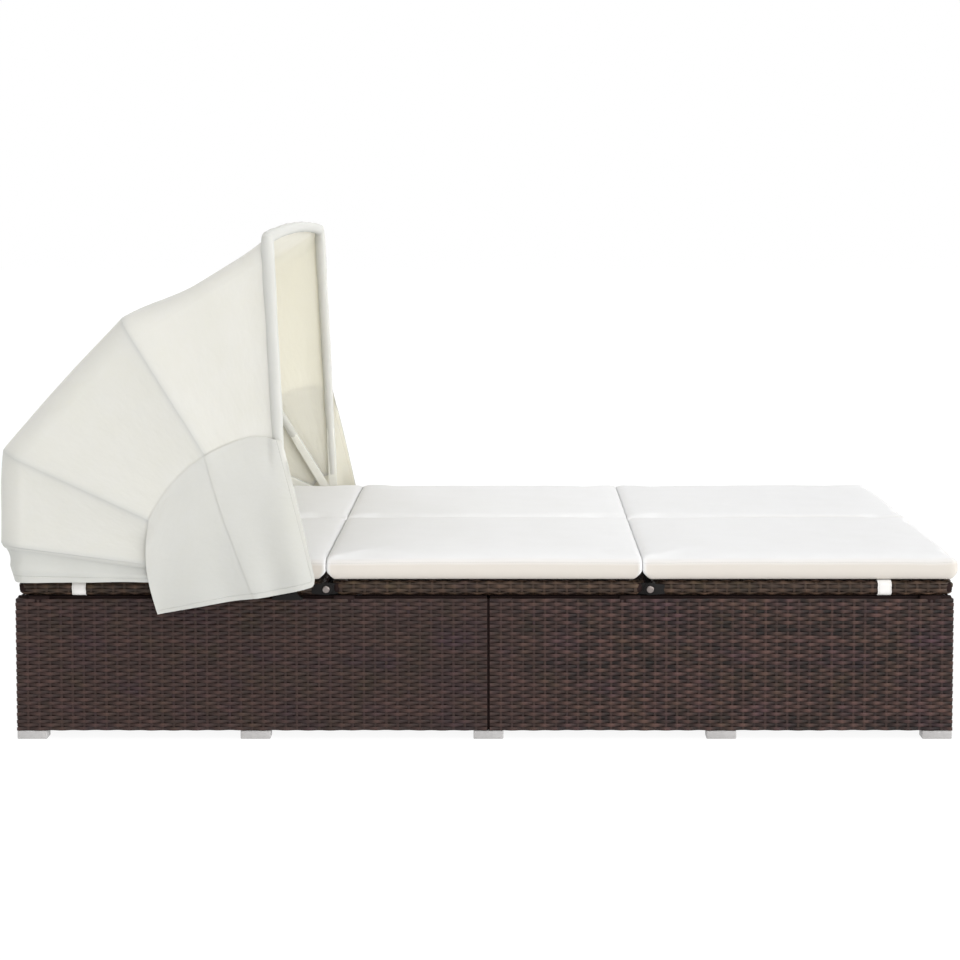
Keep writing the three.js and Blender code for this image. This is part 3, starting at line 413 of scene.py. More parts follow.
# Shader maths
class Socket:
    """A shader socket that can be used in Python expressions."""

    def __init__(self, finish, socket):
        self.finish = finish
        self.socket = socket

    def maths(self, operation, *values):
        return self.finish.node("ShaderNodeMath", {"operation": operation}, *values)

    def __add__(self, other):
        return self.maths("ADD", self, other)

    def __sub__(self, other):
        return self.maths("SUBTRACT", self, other)

    def __rsub__(self, other):
        return self.maths("SUBTRACT", other, self)

    def __mul__(self, other):
        return self.maths("MULTIPLY", self, other)

    def __truediv__(self, other):
        return self.maths("DIVIDE", self, other)

    def __rtruediv__(self, other):
        return self.maths("DIVIDE", other, self)

    def above(self, limit):
        return self.maths("GREATER_THAN", self, limit)

    def clamped(self):
        return self.maths("MAXIMUM", self.maths("MINIMUM", self, 1.0), 0.0)

    def sine(self):
        return self.maths("SINE", self)

    def size(self):
        return self.maths("ABSOLUTE", self)

    __radd__ = __add__
    __rmul__ = __mul__


class Finish:
    """A material with its Principled shader, or a sky with its background, built node by node."""

    def __init__(self, owner, shader="Principled BSDF", **constants):
        owner.use_nodes = True
        self.owner = owner
        self.tree = owner.node_tree
        self.shader = self.tree.nodes[shader]
        self.finished(**constants)

    def feed(self, socket, value):
        if isinstance(value, Socket):
            self.tree.links.new(value.socket, socket)
        elif value is not None:
            socket.default_value = value

    def node(self, kind, settings, *values, output=0, **named):
        """Adds a node: its settings first, then the values or links of its sockets by order or name."""
        made = self.tree.nodes.new(kind)
        for key, value in settings.items():
            if key == "stops":
                for stop, (place, tone) in zip(made.color_ramp.elements, value):
                    stop.position, stop.color = place, tone
            else:
                setattr(made, key, value)
        for socket, value in zip(made.inputs, values):
            self.feed(socket, value)
        for key, value in named.items():
            self.feed(made.inputs[key.replace("_", " ")], value)
        return Socket(self, made.outputs[output])

    def mix(self, factor, first, second):
        """Mixes two colours, whose sockets come after those of the numbers and vectors."""
        return self.node("ShaderNodeMix", {"data_type": "RGBA"}, factor, *[None] * 5, first, second, output=2)

    def shade(self, colour, factor):
        """The colour made lighter or darker by a factor."""
        grey = self.node("ShaderNodeCombineXYZ", {}, factor, factor, factor)
        plain = colour[:3] if isinstance(colour, tuple) else colour
        return self.node("ShaderNodeVectorMath", {"operation": "MULTIPLY"}, plain, grey)

    def object_place(self):
        return self.node("ShaderNodeTexCoord", {}, output="Object")

    def flat_place(self):
        return self.node("ShaderNodeUVMap", {"uv_map": "Flat"})

    def stretched(self, place, x, y, z):
        return self.node("ShaderNodeVectorMath", {"operation": "MULTIPLY"}, place, (x, y, z))

    def noise(self, place, scale, detail=2.0, roughness=0.5):
        return self.node("ShaderNodeTexNoise", {}, Vector=place, Scale=scale, Detail=detail,
                         Roughness=roughness)

    def split(self, place):
        x = self.node("ShaderNodeSeparateXYZ", {}, place)
        return [Socket(self, out) for out in x.socket.node.outputs]

    def value(self, name):
        return self.node("ShaderNodeAttribute", {"attribute_name": name}, output="Fac")

    def bump(self, height, strength, distance, normal=None):
        return self.node("ShaderNodeBump", {}, Height=height, Strength=strength, Distance=distance,
                         Normal=normal)

    def finished(self, **varying):
        for key, value in varying.items():
            self.feed(self.shader.inputs[key.replace("_", " ")], value)
        return self.owner


def colour(red, green, blue):
    """A colour given as it looks on a screen, from 0 to 255, as the shader wants it."""
    linear = [c / 255 / 12.92 if c <= 10 else ((c / 255 + 0.055) / 1.055) ** 2.4 for c in (red, green, blue)]
    return (*linear, 1.0)


def strand_finish(name, dark, light, tints):
    """Satin plastic strands, each with its own tone, fine ribs along it and two slight tints."""
    finish = Finish(bpy.data.materials.new(name), Specular_IOR_Level=0.28)
    flat = finish.flat_place()
    tone = finish.value("tone")
    streaks = finish.noise(finish.stretched(flat, 60, 1400, 1), 1.0, 2.0)
    first = finish.noise(finish.stretched(flat, 9, 17, 1), 1.0, 2.0)
    second = finish.noise(finish.stretched(flat, 13, 11, 1), 1.3, 2.0)
    base = finish.mix((tone + streaks * 0.30 - 0.15).clamped(), dark, light)
    once = finish.mix(((first - 0.5) * 4).clamped() * 0.8, base, finish.shade(tints[0], tone * 1.5 + 0.25))
    twice = finish.mix(((second - 0.5) * 4).clamped() * 0.8, once, finish.shade(tints[1], tone * 1.5 + 0.25))
    ribs = (finish.split(flat)[1] * 5200.0).sine()
    return finish.finished(
        Base_Color=twice,
        Roughness=streaks * 0.25 + 0.36,
        Normal=finish.bump(ribs * 0.3 + streaks, 0.35, 0.0002),
    )


def cloth_finish(name, tone, shadow, deep, painted_inside_light=None, thread=0.0011, creases=0.5, glow=0.0):
    """Plain woven cloth with mottling, creases and stitched hems, with painted shade in its deep colour and
    painted light in the lit colour of its inside.
    """
    finish = Finish(bpy.data.materials.new(name), Roughness=0.92, Specular_IOR_Level=0.15,
                    Sheen_Weight=0.1, Sheen_Roughness=0.5, Subsurface_Weight=glow, Subsurface_Scale=0.004,
                    Subsurface_Radius=(1.0, 0.96, 0.85))
    flat = finish.flat_place()
    along, across = finish.split(flat)[:2]
    turn = 2 * math.pi / thread
    threads = (along * turn).sine() * (across * turn).sine()
    mottle = finish.noise(flat, 9.0, 4.0, 0.6)
    slub = finish.noise(finish.stretched(flat, 30, 420, 1), 1.0, 2.0)
    crease = finish.noise(finish.stretched(flat, 14, 22, 1), 1.0, 3.0, 0.55)
    groove = (1 - (finish.value("edge") - HEM_WIDTH).size() / 0.0014).clamped()
    stitch = groove * ((along + across) * (2 * math.pi / 0.006)).sine().above(-0.3)
    fine = finish.mix(((mottle - 0.35) * 1.2 + (slub - 0.5) * 0.35).clamped(), shadow, tone)
    painted_tone = finish.value("tone")
    # Painted shade towards the deep colour at a low tone, and painted light towards the lit inside colour at
    # a tone above 1
    shaded_colour = finish.mix(((1 - painted_tone) / (1 - SHADE_TONE)).clamped(), fine, deep)
    inside_lit = finish.mix(((painted_tone - 1) / (INSIDE_LIGHT_TONE - 1)).clamped(), shaded_colour, painted_inside_light or tone)
    # The groove of a hem is painted darker as painted shade, and its stitches darker still
    painted = finish.shade(inside_lit, 1 - groove * 0.05 - stitch * 0.07)
    woven = finish.bump(threads * 0.12 + slub * 0.15, 0.25, 0.0004)
    creased = finish.bump(crease, creases, 0.004, woven)
    sewn = finish.bump(1 - groove, 0.6, 0.001, creased)
    return finish.finished(Base_Color=painted, Normal=sewn)


def plain_finish(name, tone, worn, roughness, metallic=0.0, specular=0.5, scale=60.0, bump=0.05):
    """Painted, plated or moulded surface with slight mottling and fine unevenness."""
    finish = Finish(bpy.data.materials.new(name), Metallic=metallic, Specular_IOR_Level=specular)
    place = finish.object_place()
    broad = finish.noise(place, scale, 4.0)
    fine = finish.noise(place, scale * 14, 2.0)
    return finish.finished(
        Base_Color=finish.mix(((broad - 0.4) * 2.0).clamped(), tone, worn),
        Roughness=(broad - 0.5) * 0.25 + (fine - 0.5) * 0.15 + roughness,
        Normal=finish.bump(fine, bump, 0.0004),
    )


weave_brown = strand_finish("woven_strand", colour(19, 10, 8), colour(80, 56, 50),
                            (colour(51, 33, 40), colour(52, 39, 27)))
rail_brown = strand_finish("rail_strand", colour(24, 16, 10), colour(81, 60, 46),
                           (colour(52, 36, 32), colour(53, 42, 25)))
# Cores, lips, pads and backings are dark: the real frame's colour, and also painted shade in the gaps between
# strands and under the rails
core_black_gap_shade = plain_finish("weave_core_gap_shade", colour(31, 19, 18), colour(39, 26, 24), 0.8, specular=0.15)
foot_grey = plain_finish("foot_grey", colour(164, 162, 161), colour(176, 174, 173), 0.42, scale=90)
steel_black = plain_finish("powder_coat", colour(13, 11, 11), colour(19, 16, 15), 0.6, specular=0.2)
bolt_bright = plain_finish("bolt_plating", colour(139, 131, 128), colour(119, 111, 108), 0.3, metallic=1.0)
bow_white = plain_finish("bow_tube", colour(216, 215, 207), colour(208, 207, 199), 0.45)
knob_black = plain_finish("knob_moulding", colour(38, 38, 38), colour(48, 48, 48), 0.6)
# Each deep colour is painted shade, warm on the cushions' sides; the hood's inside colour is painted light
# that stands in for light through the cloth
cushion_white = cloth_finish("cushion_cover", colour(228, 228, 229), colour(223, 223, 223),
                             deep=colour(203, 197, 189), creases=0.25)
canopy_cream = cloth_finish("canopy_cloth", colour(207, 206, 203), colour(202, 201, 194),
                            deep=colour(181, 182, 178), painted_inside_light=colour(225, 222, 209),
                            creases=0.35, glow=0.4)
strap_white = cloth_finish("strap_webbing", colour(232, 230, 228), colour(220, 218, 215),
                           deep=colour(200, 198, 194), thread=0.0016, creases=0.1)


# Woven mats: flat strands that go over and under the stakes in turn
def strand_tile(name, warp, width, thickness, swing, steps):
    """Two crossings of one strand: a flat bar of six sides along x that waves in y."""
    deselect()
    bpy.ops.mesh.primitive_cylinder_add(
        vertices=6, radius=0.5, depth=2 * warp, end_fill_type="NOTHING",
        rotation=(0, math.pi / 2, 0), location=(warp, 0, 0))
    tile = settle(newest(name))
    select_edges(tile, lambda a, b: abs(a.x - b.x) > warp)
    edit("EDGE", (bpy.ops.mesh.subdivide, {"number_cuts": steps - 1}))
    co = points_of(tile)
    turn = np.arctan2(co[:, 1], co[:, 2])
    angle = np.round((turn - math.pi / 2) / (math.pi / 3)) * math.pi / 3
    rim = np.abs(np.cos(angle)) > 0.9
    co[:, 2] = np.sign(np.cos(angle)) * width * np.where(rim, 0.5, 0.33)
    co[:, 1] = np.where(rim, 0, np.sign(np.sin(angle)) * thickness / 2)
    co[:, 1] -= swing * np.cos(math.pi * co[:, 0] / warp)
    return set_points(tile, co)


def stakes(name, count, warp, height, steps):
    """Flat upright stakes that the strands are woven round, one at each crossing."""
    deselect()
    bpy.ops.mesh.primitive_cylinder_add(vertices=6, radius=0.5, depth=height, location=(0, 0, height / 2))
    stake = settle(newest(name))
    if steps > 1:
        select_edges(stake, lambda a, b: abs(a.z - b.z) > height / 2)
        edit("EDGE", (bpy.ops.mesh.subdivide, {"number_cuts": steps - 1}))
    co = points_of(stake)
    co[:, 0] *= STAKE_WIDTH
    co[:, 1] *= STAKE_THICKNESS
    co[:, 0] += warp
    set_points(stake, co)
    co = points_of(repeated(stake, count, (warp, 0, 0)))
    tones = np.random.default_rng(count).uniform(*STAKE_TONES, count + 1)
    set_value(stake, "tone", tones[np.round(co[:, 0] / warp).astype(int) - 1])
    set_uv(stake, co[:, [2, 0]])
    return stake


def mat(name, length, rows, pitch, warp, width, thickness, swing, steps=8, seed=1):
    """A flat mat along x with its rows up z, facing -y, with its ends closed."""
    tiles = max(1, round(length / (2 * warp)))
    fitted = length / (2 * tiles)
    over = strand_tile(name, fitted, width, thickness, swing, steps)
    under = duplicate(over, name + "_under")
    co = points_of(under)
    co[:, 1] += 2 * swing * np.cos(math.pi * co[:, 0] / fitted)
    co[:, 2] += pitch
    set_points(under, co)
    pieces = []
    for strand, count in ((over, (rows + 1) // 2), (under, rows // 2)):
        repeated(strand, tiles, (2 * fitted, 0, 0), use_merge_vertices=True, merge_threshold=0.0002)
        edit_all("EDGE", bpy.ops.mesh.fill_holes, sides=8)
        pieces.append(repeated(outwards(strand), count, (0, 0, 2 * pitch)))
    return vary_strands(join(name, *pieces), pitch, fitted, seed)


def vary_strands(piece, pitch, warp, seed):
    """Gives each crossing its own tone, with painted shade where the strand goes behind and a painted
    highlight where it crosses in front, and a slightly uneven run.
    """
    draws = np.random.default_rng(seed)
    co = points_of(piece)
    row = np.clip(np.round(co[:, 2] / pitch).astype(int), 0, None)
    rows = row.max() + 1
    spans = int(co[:, 0].max() / warp) + 3
    tones = draws.uniform(*ROW_TONES, (rows, 1)) + draws.uniform(*CROSSING_TONES, (rows, spans))
    place = np.clip(co[:, 0] / warp + 0.5, 0, spans - 1.001)
    cell = place.astype(int)
    share = np.clip((place - cell) * 4 - 1.5, 0, 1)
    tone = tones[row, cell] * (1 - share) + tones[row, np.minimum(cell + 1, spans - 1)] * share
    # Painted shade and highlight: dark where the strand passes behind a stake, bright at the middle of each
    # crossing in front
    front = 0.5 + 0.5 * np.cos(math.pi * co[:, 0] / warp) * np.where(row % 2 == 0, 1, -1)
    set_value(piece, "tone", np.clip(tone * (0.54 + 0.95 * front ** 4), 0, 1))
    set_uv(piece, co[:, [0, 2]])
    wander = draws.uniform(0, 2 * math.pi, (rows, 2))
    co[:, 2] += STRAND_WANDER_UP * np.sin(co[:, 0] * 21 + wander[row, 0])
    co[:, 1] += STRAND_WANDER_OUT * np.sin(co[:, 0] * 33 + wander[row, 1])
    return set_points(piece, co)


def rounded_block(name, size, centre, edge, segments=2):
    """A block with rounded edges."""
    deselect()
    bpy.ops.mesh.primitive_cube_add(size=1, location=centre)
    block = newest(name)
    block.scale = size
    settle(block)
    modified(block, "BEVEL", width=edge, segments=segments, limit_method="NONE")
    return apply_modifiers(block)


def dark_core(piece, axes=(0, 1)):
    """Paints the core that shows between strands, whose dark colour is its own and also painted shade in the
    gaps, with its flat place from two of its axes.
    """
    set_value(piece, "tone", np.zeros(len(piece.data.vertices)))
    set_uv(piece, points_of(piece)[:, axes])
    piece.data.materials.append(core_black_gap_shade)
    return piece


def post(name, centre_x, width, bottom, rows):
    """Strand wound round the end of a panel behind its mat: one flat band for each row."""
    band = rounded_block(name, (width, PANEL_DEPTH - MAT_DEPTH, STRAND_WIDTH),
                         (centre_x, (PANEL_DEPTH + MAT_DEPTH) / 2, bottom + ROW_PITCH / 2), POST_ROUND)
    co = points_of(repeated(band, rows, (0, 0, ROW_PITCH)))
    row = ((co[:, 2] - bottom) / ROW_PITCH).astype(int)
    tones = np.random.default_rng(int(abs(centre_x) * 1000) + 7).uniform(*POST_TONES, rows + 1)
    set_value(band, "tone", tones[np.clip(row, 0, rows)])
    set_uv(band, co[:, [0, 2]])
    return band


def top_lips(node, length, top, bracket_x):
    """Edge of the frame over a panel, which closes the view in under the rails, open at a bracket's foot."""
    ends = [-length / 2 + LIP_END_GAP, length / 2 - LIP_END_GAP]
    if bracket_x is not None:
        ends[1:1] = [bracket_x - BRACKET_HALF_GAP, bracket_x + BRACKET_HALF_GAP]
    root = top - LIP_ROOT
    return [rounded_block(f"{node}_lip{index}", (last - first, LIP_WIDTH, LIP_TOP - root),
                          ((first + last) / 2, PANEL_DEPTH - LIP_BACK, (LIP_TOP + root) / 2), CORE_ROUND, 1)
            for index, (first, last) in enumerate(zip(ends[::2], ends[1::2]))]


def woven_panel(node, length, pads, seam, seed, bracket_x=None):
    """One base panel, drawn facing -y with its front at y = 0 and centred on x = 0, open at its seam."""
    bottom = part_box(node)[0].z
    rows = round(PANEL_HEIGHT / ROW_PITCH)
    opening = SEAM_OPENING if seam else 0
    web = length - 2 * MAT_END_GAP - opening
    start = -(web + seam * opening) / 2
    cloth = mat(node + "_weave", web, rows, ROW_PITCH, WARP_PITCH, STRAND_WIDTH, STRAND_THICKNESS,
                STRAND_SWING, seed=seed)
    set_points(cloth, points_of(cloth) + (start, MAT_DEPTH / 2, bottom + ROW_PITCH / 2))
    crossings = 2 * round(web / (2 * WARP_PITCH))
    uprights = stakes(node + "_stakes", crossings - 1, web / crossings, PANEL_HEIGHT - 2 * STAKE_INSET, 1)
    set_points(uprights, points_of(uprights) + (start, MAT_DEPTH / 2, bottom + STAKE_INSET))
    left, right = (side * (length / 2 + (SEAM_FILL if side == seam else -CORE_INSET)) for side in (-1, 1))
    blocks = [
        rounded_block(node + "_core", (right - left, PANEL_DEPTH - MAT_DEPTH - CORE_INSET / 2,
                                       PANEL_HEIGHT - CORE_INSET),
                      ((left + right) / 2, (PANEL_DEPTH + MAT_DEPTH) / 2, bottom + PANEL_HEIGHT / 2),
                      CORE_ROUND, 1),
        *top_lips(node, length, bottom + PANEL_HEIGHT, bracket_x),
        *(rounded_block(f"{node}_pad{index}", REST_PAD_SIZE,
                        (x, PANEL_DEPTH / 2, bottom + PANEL_HEIGHT - REST_PAD_SINK), REST_PAD_ROUND, 1)
          for index, x in enumerate(pads)),
    ]
    posts = []
    for side in (-1, 1):
        width = POST_WIDTH - (SEAM_OPENING if side == seam else 0)
        centre_x = side * (length / 2 - POST_WIDTH + width / 2)
        posts.append(post(f"{node}_post{side}", centre_x, width, bottom, rows))
    for piece in (cloth, uprights, *posts):
        piece.data.materials.append(weave_brown)
    for block in blocks:
        dark_core(block, (0, 2))
    return smooth(join(node.replace("_panel", "_weave"), cloth, uprights, *posts, *blocks), 50)


def place_panel(piece, node, facing):
    """Turns a panel drawn facing -y to face the given way and centres it on its node."""
    low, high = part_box(node)
    middle = (low + high) / 2
    x, y, z = points_of(piece).T
    moved = {
        "near": (middle.x + x, low.y + y, z),
        "far": (middle.x - x, high.y - y, z),
        "head": (low.x + y, middle.y - x, z),
        "foot": (high.x - y, middle.y + x, z),
    }[facing]
    set_points(piece, np.stack(moved, 1))
    # Painted light: lighter and livelier towards the foot end, painted shade and less contrast towards the
    # head
    foot = ease((moved[0] + 0.05) / 0.35)
    contrast = HEAD_CONTRAST + (FOOT_CONTRAST - HEAD_CONTRAST) * foot
    tone = MIDDLE_TONE + (values_of(piece, "tone") - MIDDLE_TONE) * contrast
    set_value(piece, "tone", tone * (HEAD_SHADED_LIGHTNESS + (1 - HEAD_SHADED_LIGHTNESS) * foot))
    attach(piece, "root")
    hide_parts(node)


def base_panels():
    for side, turned in (("near", 1), ("far", -1)):
        for half in ("head", "foot"):
            node = f"side_panel_{side}_{half}"
            low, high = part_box(node)
            middle = (low.x + high.x) / 2
            pads = [(x + MIDDLE_X - middle) * turned for x in REST_PADS if low.x < x + MIDDLE_X < high.x]
            seam = turned if half == "head" else -turned
            bracket_x = (PIVOT.x - middle) * turned if half == "head" else None
            seed = len(node) + 3 * len(half) + (side == "far")
            place_panel(woven_panel(node, high.x - low.x, pads, seam, seed, bracket_x), node, side)
    for end in ("head", "foot"):
        node = f"end_panel_{end}"
        low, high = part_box(node)
        seed = 40 + len(end) + (end == "head")
        place_panel(woven_panel(node, high.y - low.y, [], 0, seed), node, end)


def feet():
    for side in SIDES:
        for index in range(1, 6):
            node = f"foot_{side}_{index}"
            low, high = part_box(node)
            foot = rounded_block(node + "_moulding", high - low, (low + high) / 2, FOOT_ROUND, 3)
            dress(smooth(foot), foot_grey)
            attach(foot, "root")
            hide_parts(node)


# Rails: the same mat laid round a rounded tube that closes on itself
def rounded_path(half_x, half_y, corner, distance):
    """Points and outward directions along a rounded rectangle, from the middle of its -y side."""
    legs = [half_x - corner, None, 2 * (half_y - corner), None, 2 * (half_x - corner), None,
            2 * (half_y - corner), None, half_x - corner]
    quarter = corner * math.pi / 2
    lengths = [quarter if leg is None else leg for leg in legs]
    total = sum(lengths)
    scaled = np.mod(distance, total)
    starts = np.concatenate([[0], np.cumsum(lengths)])
    place = np.zeros((len(distance), 2))
    out = np.zeros((len(distance), 2))
    at = np.array([0.0, -half_y])
    heading = 0.0
    for leg, (first, last) in zip(legs, zip(starts[:-1], starts[1:])):
        mask = (scaled >= first - 1e-9) & (scaled <= last + 1e-9)
        run = scaled[mask] - first
        ahead = np.array([math.cos(heading), math.sin(heading)])
        right = np.array([math.sin(heading), -math.cos(heading)])
        if leg is None:
            centre = at - right * corner
            turn = run / corner
            direction = right[None] * np.cos(turn)[:, None] + ahead[None] * np.sin(turn)[:, None]
            place[mask] = centre + direction * corner
            out[mask] = direction
            heading += math.pi / 2
            at = centre + ahead * corner
        else:
            place[mask] = at + ahead[None] * run[:, None]
            out[mask] = right
            at = at + ahead * leg
    return place, out, total


def rail_cover(node):
    """Woven cover of a section's tube frame over its dark core."""
    low, high = RAILS[node]
    half_x = (high - low) / 2 - RAIL_WIDTH / 2
    half_y = RAIL_HALF_WIDTH - RAIL_WIDTH / 2
    path_corner = RAIL_CORNER - RAIL_WIDTH / 2
    total = rounded_path(half_x, half_y, path_corner, np.zeros(1))[2]
    under_strands = RAIL_SWING + STRAND_THICKNESS * 0.6
    section_x = RAIL_WIDTH / 2 - under_strands
    section_z = RAIL_HEIGHT / 2 - under_strands
    section_total = rounded_path(section_x, section_z, RAIL_ROUND, np.zeros(1))[2]
    rows = 2 * round(section_total / ROW_PITCH / 2)
    pitch = section_total / rows
    cover = mat(node + "_cover", total, rows, pitch, WARP_PITCH, pitch * 0.93, STRAND_THICKNESS,
                RAIL_SWING, steps=6, seed=len(node) + rows)
    crossings = 2 * max(1, round(total / (2 * WARP_PITCH)))
    hoops = stakes(node + "_hoops", crossings, total / crossings, section_total * 0.9999, 3 * rows)
    cover = join(node + "_cover", cover, hoops)
    co = points_of(cover)
    around, section_out, _ = rounded_path(section_x, section_z, RAIL_ROUND, co[:, 2])
    around = around - section_out * co[:, 1:2]
    along, path_out, _ = rounded_path(half_x, half_y, path_corner, co[:, 0])
    flat = along + path_out * around[:, :1]
    set_points(cover, np.stack([flat[:, 0] + (low + high) / 2, flat[:, 1], around[:, 1] + RAIL_MIDDLE_Z], 1))
    outwards(cover)
    cover.data.materials.append(rail_brown)
    return smooth(join(node + "_cover", cover, rail_core(node, low, high)), 60)


def rail_core(node, low, high):
    """The dark tube under the strands, made as a rounded ring."""
    deselect()
    bpy.ops.mesh.primitive_cube_add(size=1, location=((low + high) / 2, 0, RAIL_MIDDLE_Z))
    core = newest(node + "_core")
    inset = 2 * RAIL_CORE_INSET
    core.scale = (high - low - inset, 2 * RAIL_HALF_WIDTH - inset, RAIL_HEIGHT - inset)
    settle(core)
    select_parts(core, core.data.polygons, lambda face: abs(face.normal.z) > 0.9)
    edit("FACE", (bpy.ops.mesh.inset, {"thickness": RAIL_WIDTH - inset, "use_boundary": True}),
         (bpy.ops.mesh.bridge_edge_loops, {}))
    modified(core, "BEVEL", width=RAIL_CORE_ROUND, segments=2, limit_method="ANGLE",
             angle_limit=math.radians(60))
    return dark_core(apply_modifiers(core))


def disc(name, radius, depth, centre, sides=40):
    """A disc that faces along y."""
    deselect()
    bpy.ops.mesh.primitive_cylinder_add(vertices=sides, radius=radius, depth=depth,
                                        rotation=(math.pi / 2, 0, 0), location=centre)
    return settle(newest(name))


def soften(piece, width=METAL_ROUND, segments=2):
    """Rounds the edges of a metal piece."""
    outwards(piece)
    modified(piece, "BEVEL", width=width, segments=segments, limit_method="ANGLE",
             angle_limit=math.radians(35))
    return smooth(apply_modifiers(piece))


def hinge_lug(name, hinge_x, y, towards, reach):
    """Flat plate round the hinge pin that runs into the end of a rail."""
    lug = disc(name, LUG_RADIUS, LUG_THICKNESS, (hinge_x, y, HINGE_Z))
    co = points_of(lug)
    ahead = (co[:, 0] - hinge_x) * towards > 0.0002
    co[ahead, 0] = hinge_x + towards * reach
    co[ahead, 2] = HINGE_Z + np.clip(co[ahead, 2] - HINGE_Z, -LUG_END_HALF, LUG_END_HALF)
    return soften(merge_points(set_points(lug, co)))


def prop_ear(name, x, y):
    """Rounded ear below a rib that holds the end of a prop."""
    ear = disc(name, EAR_RADIUS, EAR_THICKNESS, (x, y, EAR_Z))
    co = points_of(ear)
    upper = co[:, 2] > EAR_Z - 0.0002
    co[upper, 0] = x + (co[upper, 0] - x) * EAR_SPREAD
    co[upper, 2] = EAR_TOP
    return soften(merge_points(set_points(ear, co)))


def frame_fittings(section, low, high):
    """Ribs, hinge lugs and prop ears of one section."""
    pieces = [rounded_block(f"{section}_rib{side}", (high - low - RAIL_WIDTH, RIB_SIZE, RIB_SIZE),
                            ((low + high) / 2, side * RIB_Y, RIB_Z), RIB_ROUND) for side in (-1, 1)]
    for side in (-1, 1):
        if section == "seat":
            pieces += [hinge_lug("lug", HINGE_X[hinge], side * FIXED_LUG_Y, -away, FIXED_LUG_REACH)
                       for hinge, away in FROM_HINGE.items()]
            continue
        away = FROM_HINGE[section]
        pieces += [hinge_lug("lug", HINGE_X[section], side * MOVING_LUG_Y, away, MOVING_LUG_REACH),
                   prop_ear("ear", HINGE_X[section] + away * EAR_FROM_HINGE, side * RIB_Y)]
    return dress(join(f"{section}_frame_fittings", *pieces), steel_black)


def section_frames():
    for section, body in SECTION_BODY.items():
        cover = rail_cover(f"{section}_frame")
        fittings = frame_fittings(section, *RAILS[f"{section}_frame"])
        for piece in (cover, fittings):
            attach(piece, body)
            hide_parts(f"{section}_frame")
        deck_weave(section, body)


def hinge_bolts():
    """Domed bolt head outside the lugs, shank through them and nut inside."""
    for section in FROM_HINGE:
        for side, sign in SIDES.items():
            name = f"{section}_bolt_{side}"
            head, shank, nut = (disc(name, radius, depth, (HINGE_X[section], sign * y, HINGE_Z), sides)
                                for radius, depth, y, sides in (BOLT_HEAD, BOLT_SHANK, BOLT_NUT))
            bolt = join(name, soften(head, BOLT_DOME, 4), shank, soften(nut))
            dress(bolt, bolt_bright)
            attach(bolt, SECTION_BODY[section])
            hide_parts(f"{section}_hinge_bolt_{side}")


def deck_weave(section, body):
    """Wide flat bands woven across the section."""
    low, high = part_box(f"{section}_deck")
    size = high - low
    rows = round(size.x / DECK_BAND)
    pitch = size.x / rows
    bands = mat(f"{section}_deck_weave", size.y, rows, pitch, DECK_WARP, pitch * 0.92, DECK_BAND_THICKNESS,
                DECK_SWING, steps=6, seed=rows)
    along, deep, over = points_of(bands).T
    set_points(bands, np.stack([np.clip(low.x + pitch / 2 + over, low.x, high.x), low.y + along,
                                high.z - DECK_TOP_GAP - deep], 1))
    outwards(bands)
    bands.data.materials.append(weave_brown)
    backing = rounded_block(f"{section}_deck_backing", (size.x, size.y, DECK_BACKING),
                            ((low.x + high.x) / 2, 0, low.z + DECK_BACKING / 2), CORE_ROUND, 1)
    whole = smooth(join(f"{section}_deck_weave", bands, dark_core(backing)), 60)
    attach(whole, body)
    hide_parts(f"{section}_deck")


# Cushions
def cushion_block(name, x0, x1, y0, y1, z0, z1, seams):
    """A boxed cushion: a fine grid with thickness and rings round its sides, then shaped."""
    deselect()
    columns = round((x1 - x0) / CUSHION_CELL)
    rows = round((y1 - y0) / CUSHION_CELL)
    bpy.ops.mesh.primitive_grid_add(x_subdivisions=columns, y_subdivisions=rows, size=1,
                                    location=((x0 + x1) / 2, (y0 + y1) / 2, z1))
    block = newest(name)
    block.scale = (x1 - x0, y1 - y0, 1)
    thickened(settle(block), z1 - z0)
    for share in CUSHION_LEVELS:
        level = z0 + (z1 - z0) * share
        only(block)
        edit_all("FACE", bpy.ops.mesh.bisect, plane_co=(0, 0, level), plane_no=(0, 0, 1))
    outwards(block)
    return shape_cushion(block, x0, x1, y0, y1, z0, z1, seams)


def quarter_round(share):
    """How far a rounded rim draws in, from 0 at its start to 1 at its end."""
    return 1 - np.sqrt(np.maximum(1 - share ** 2, 0))


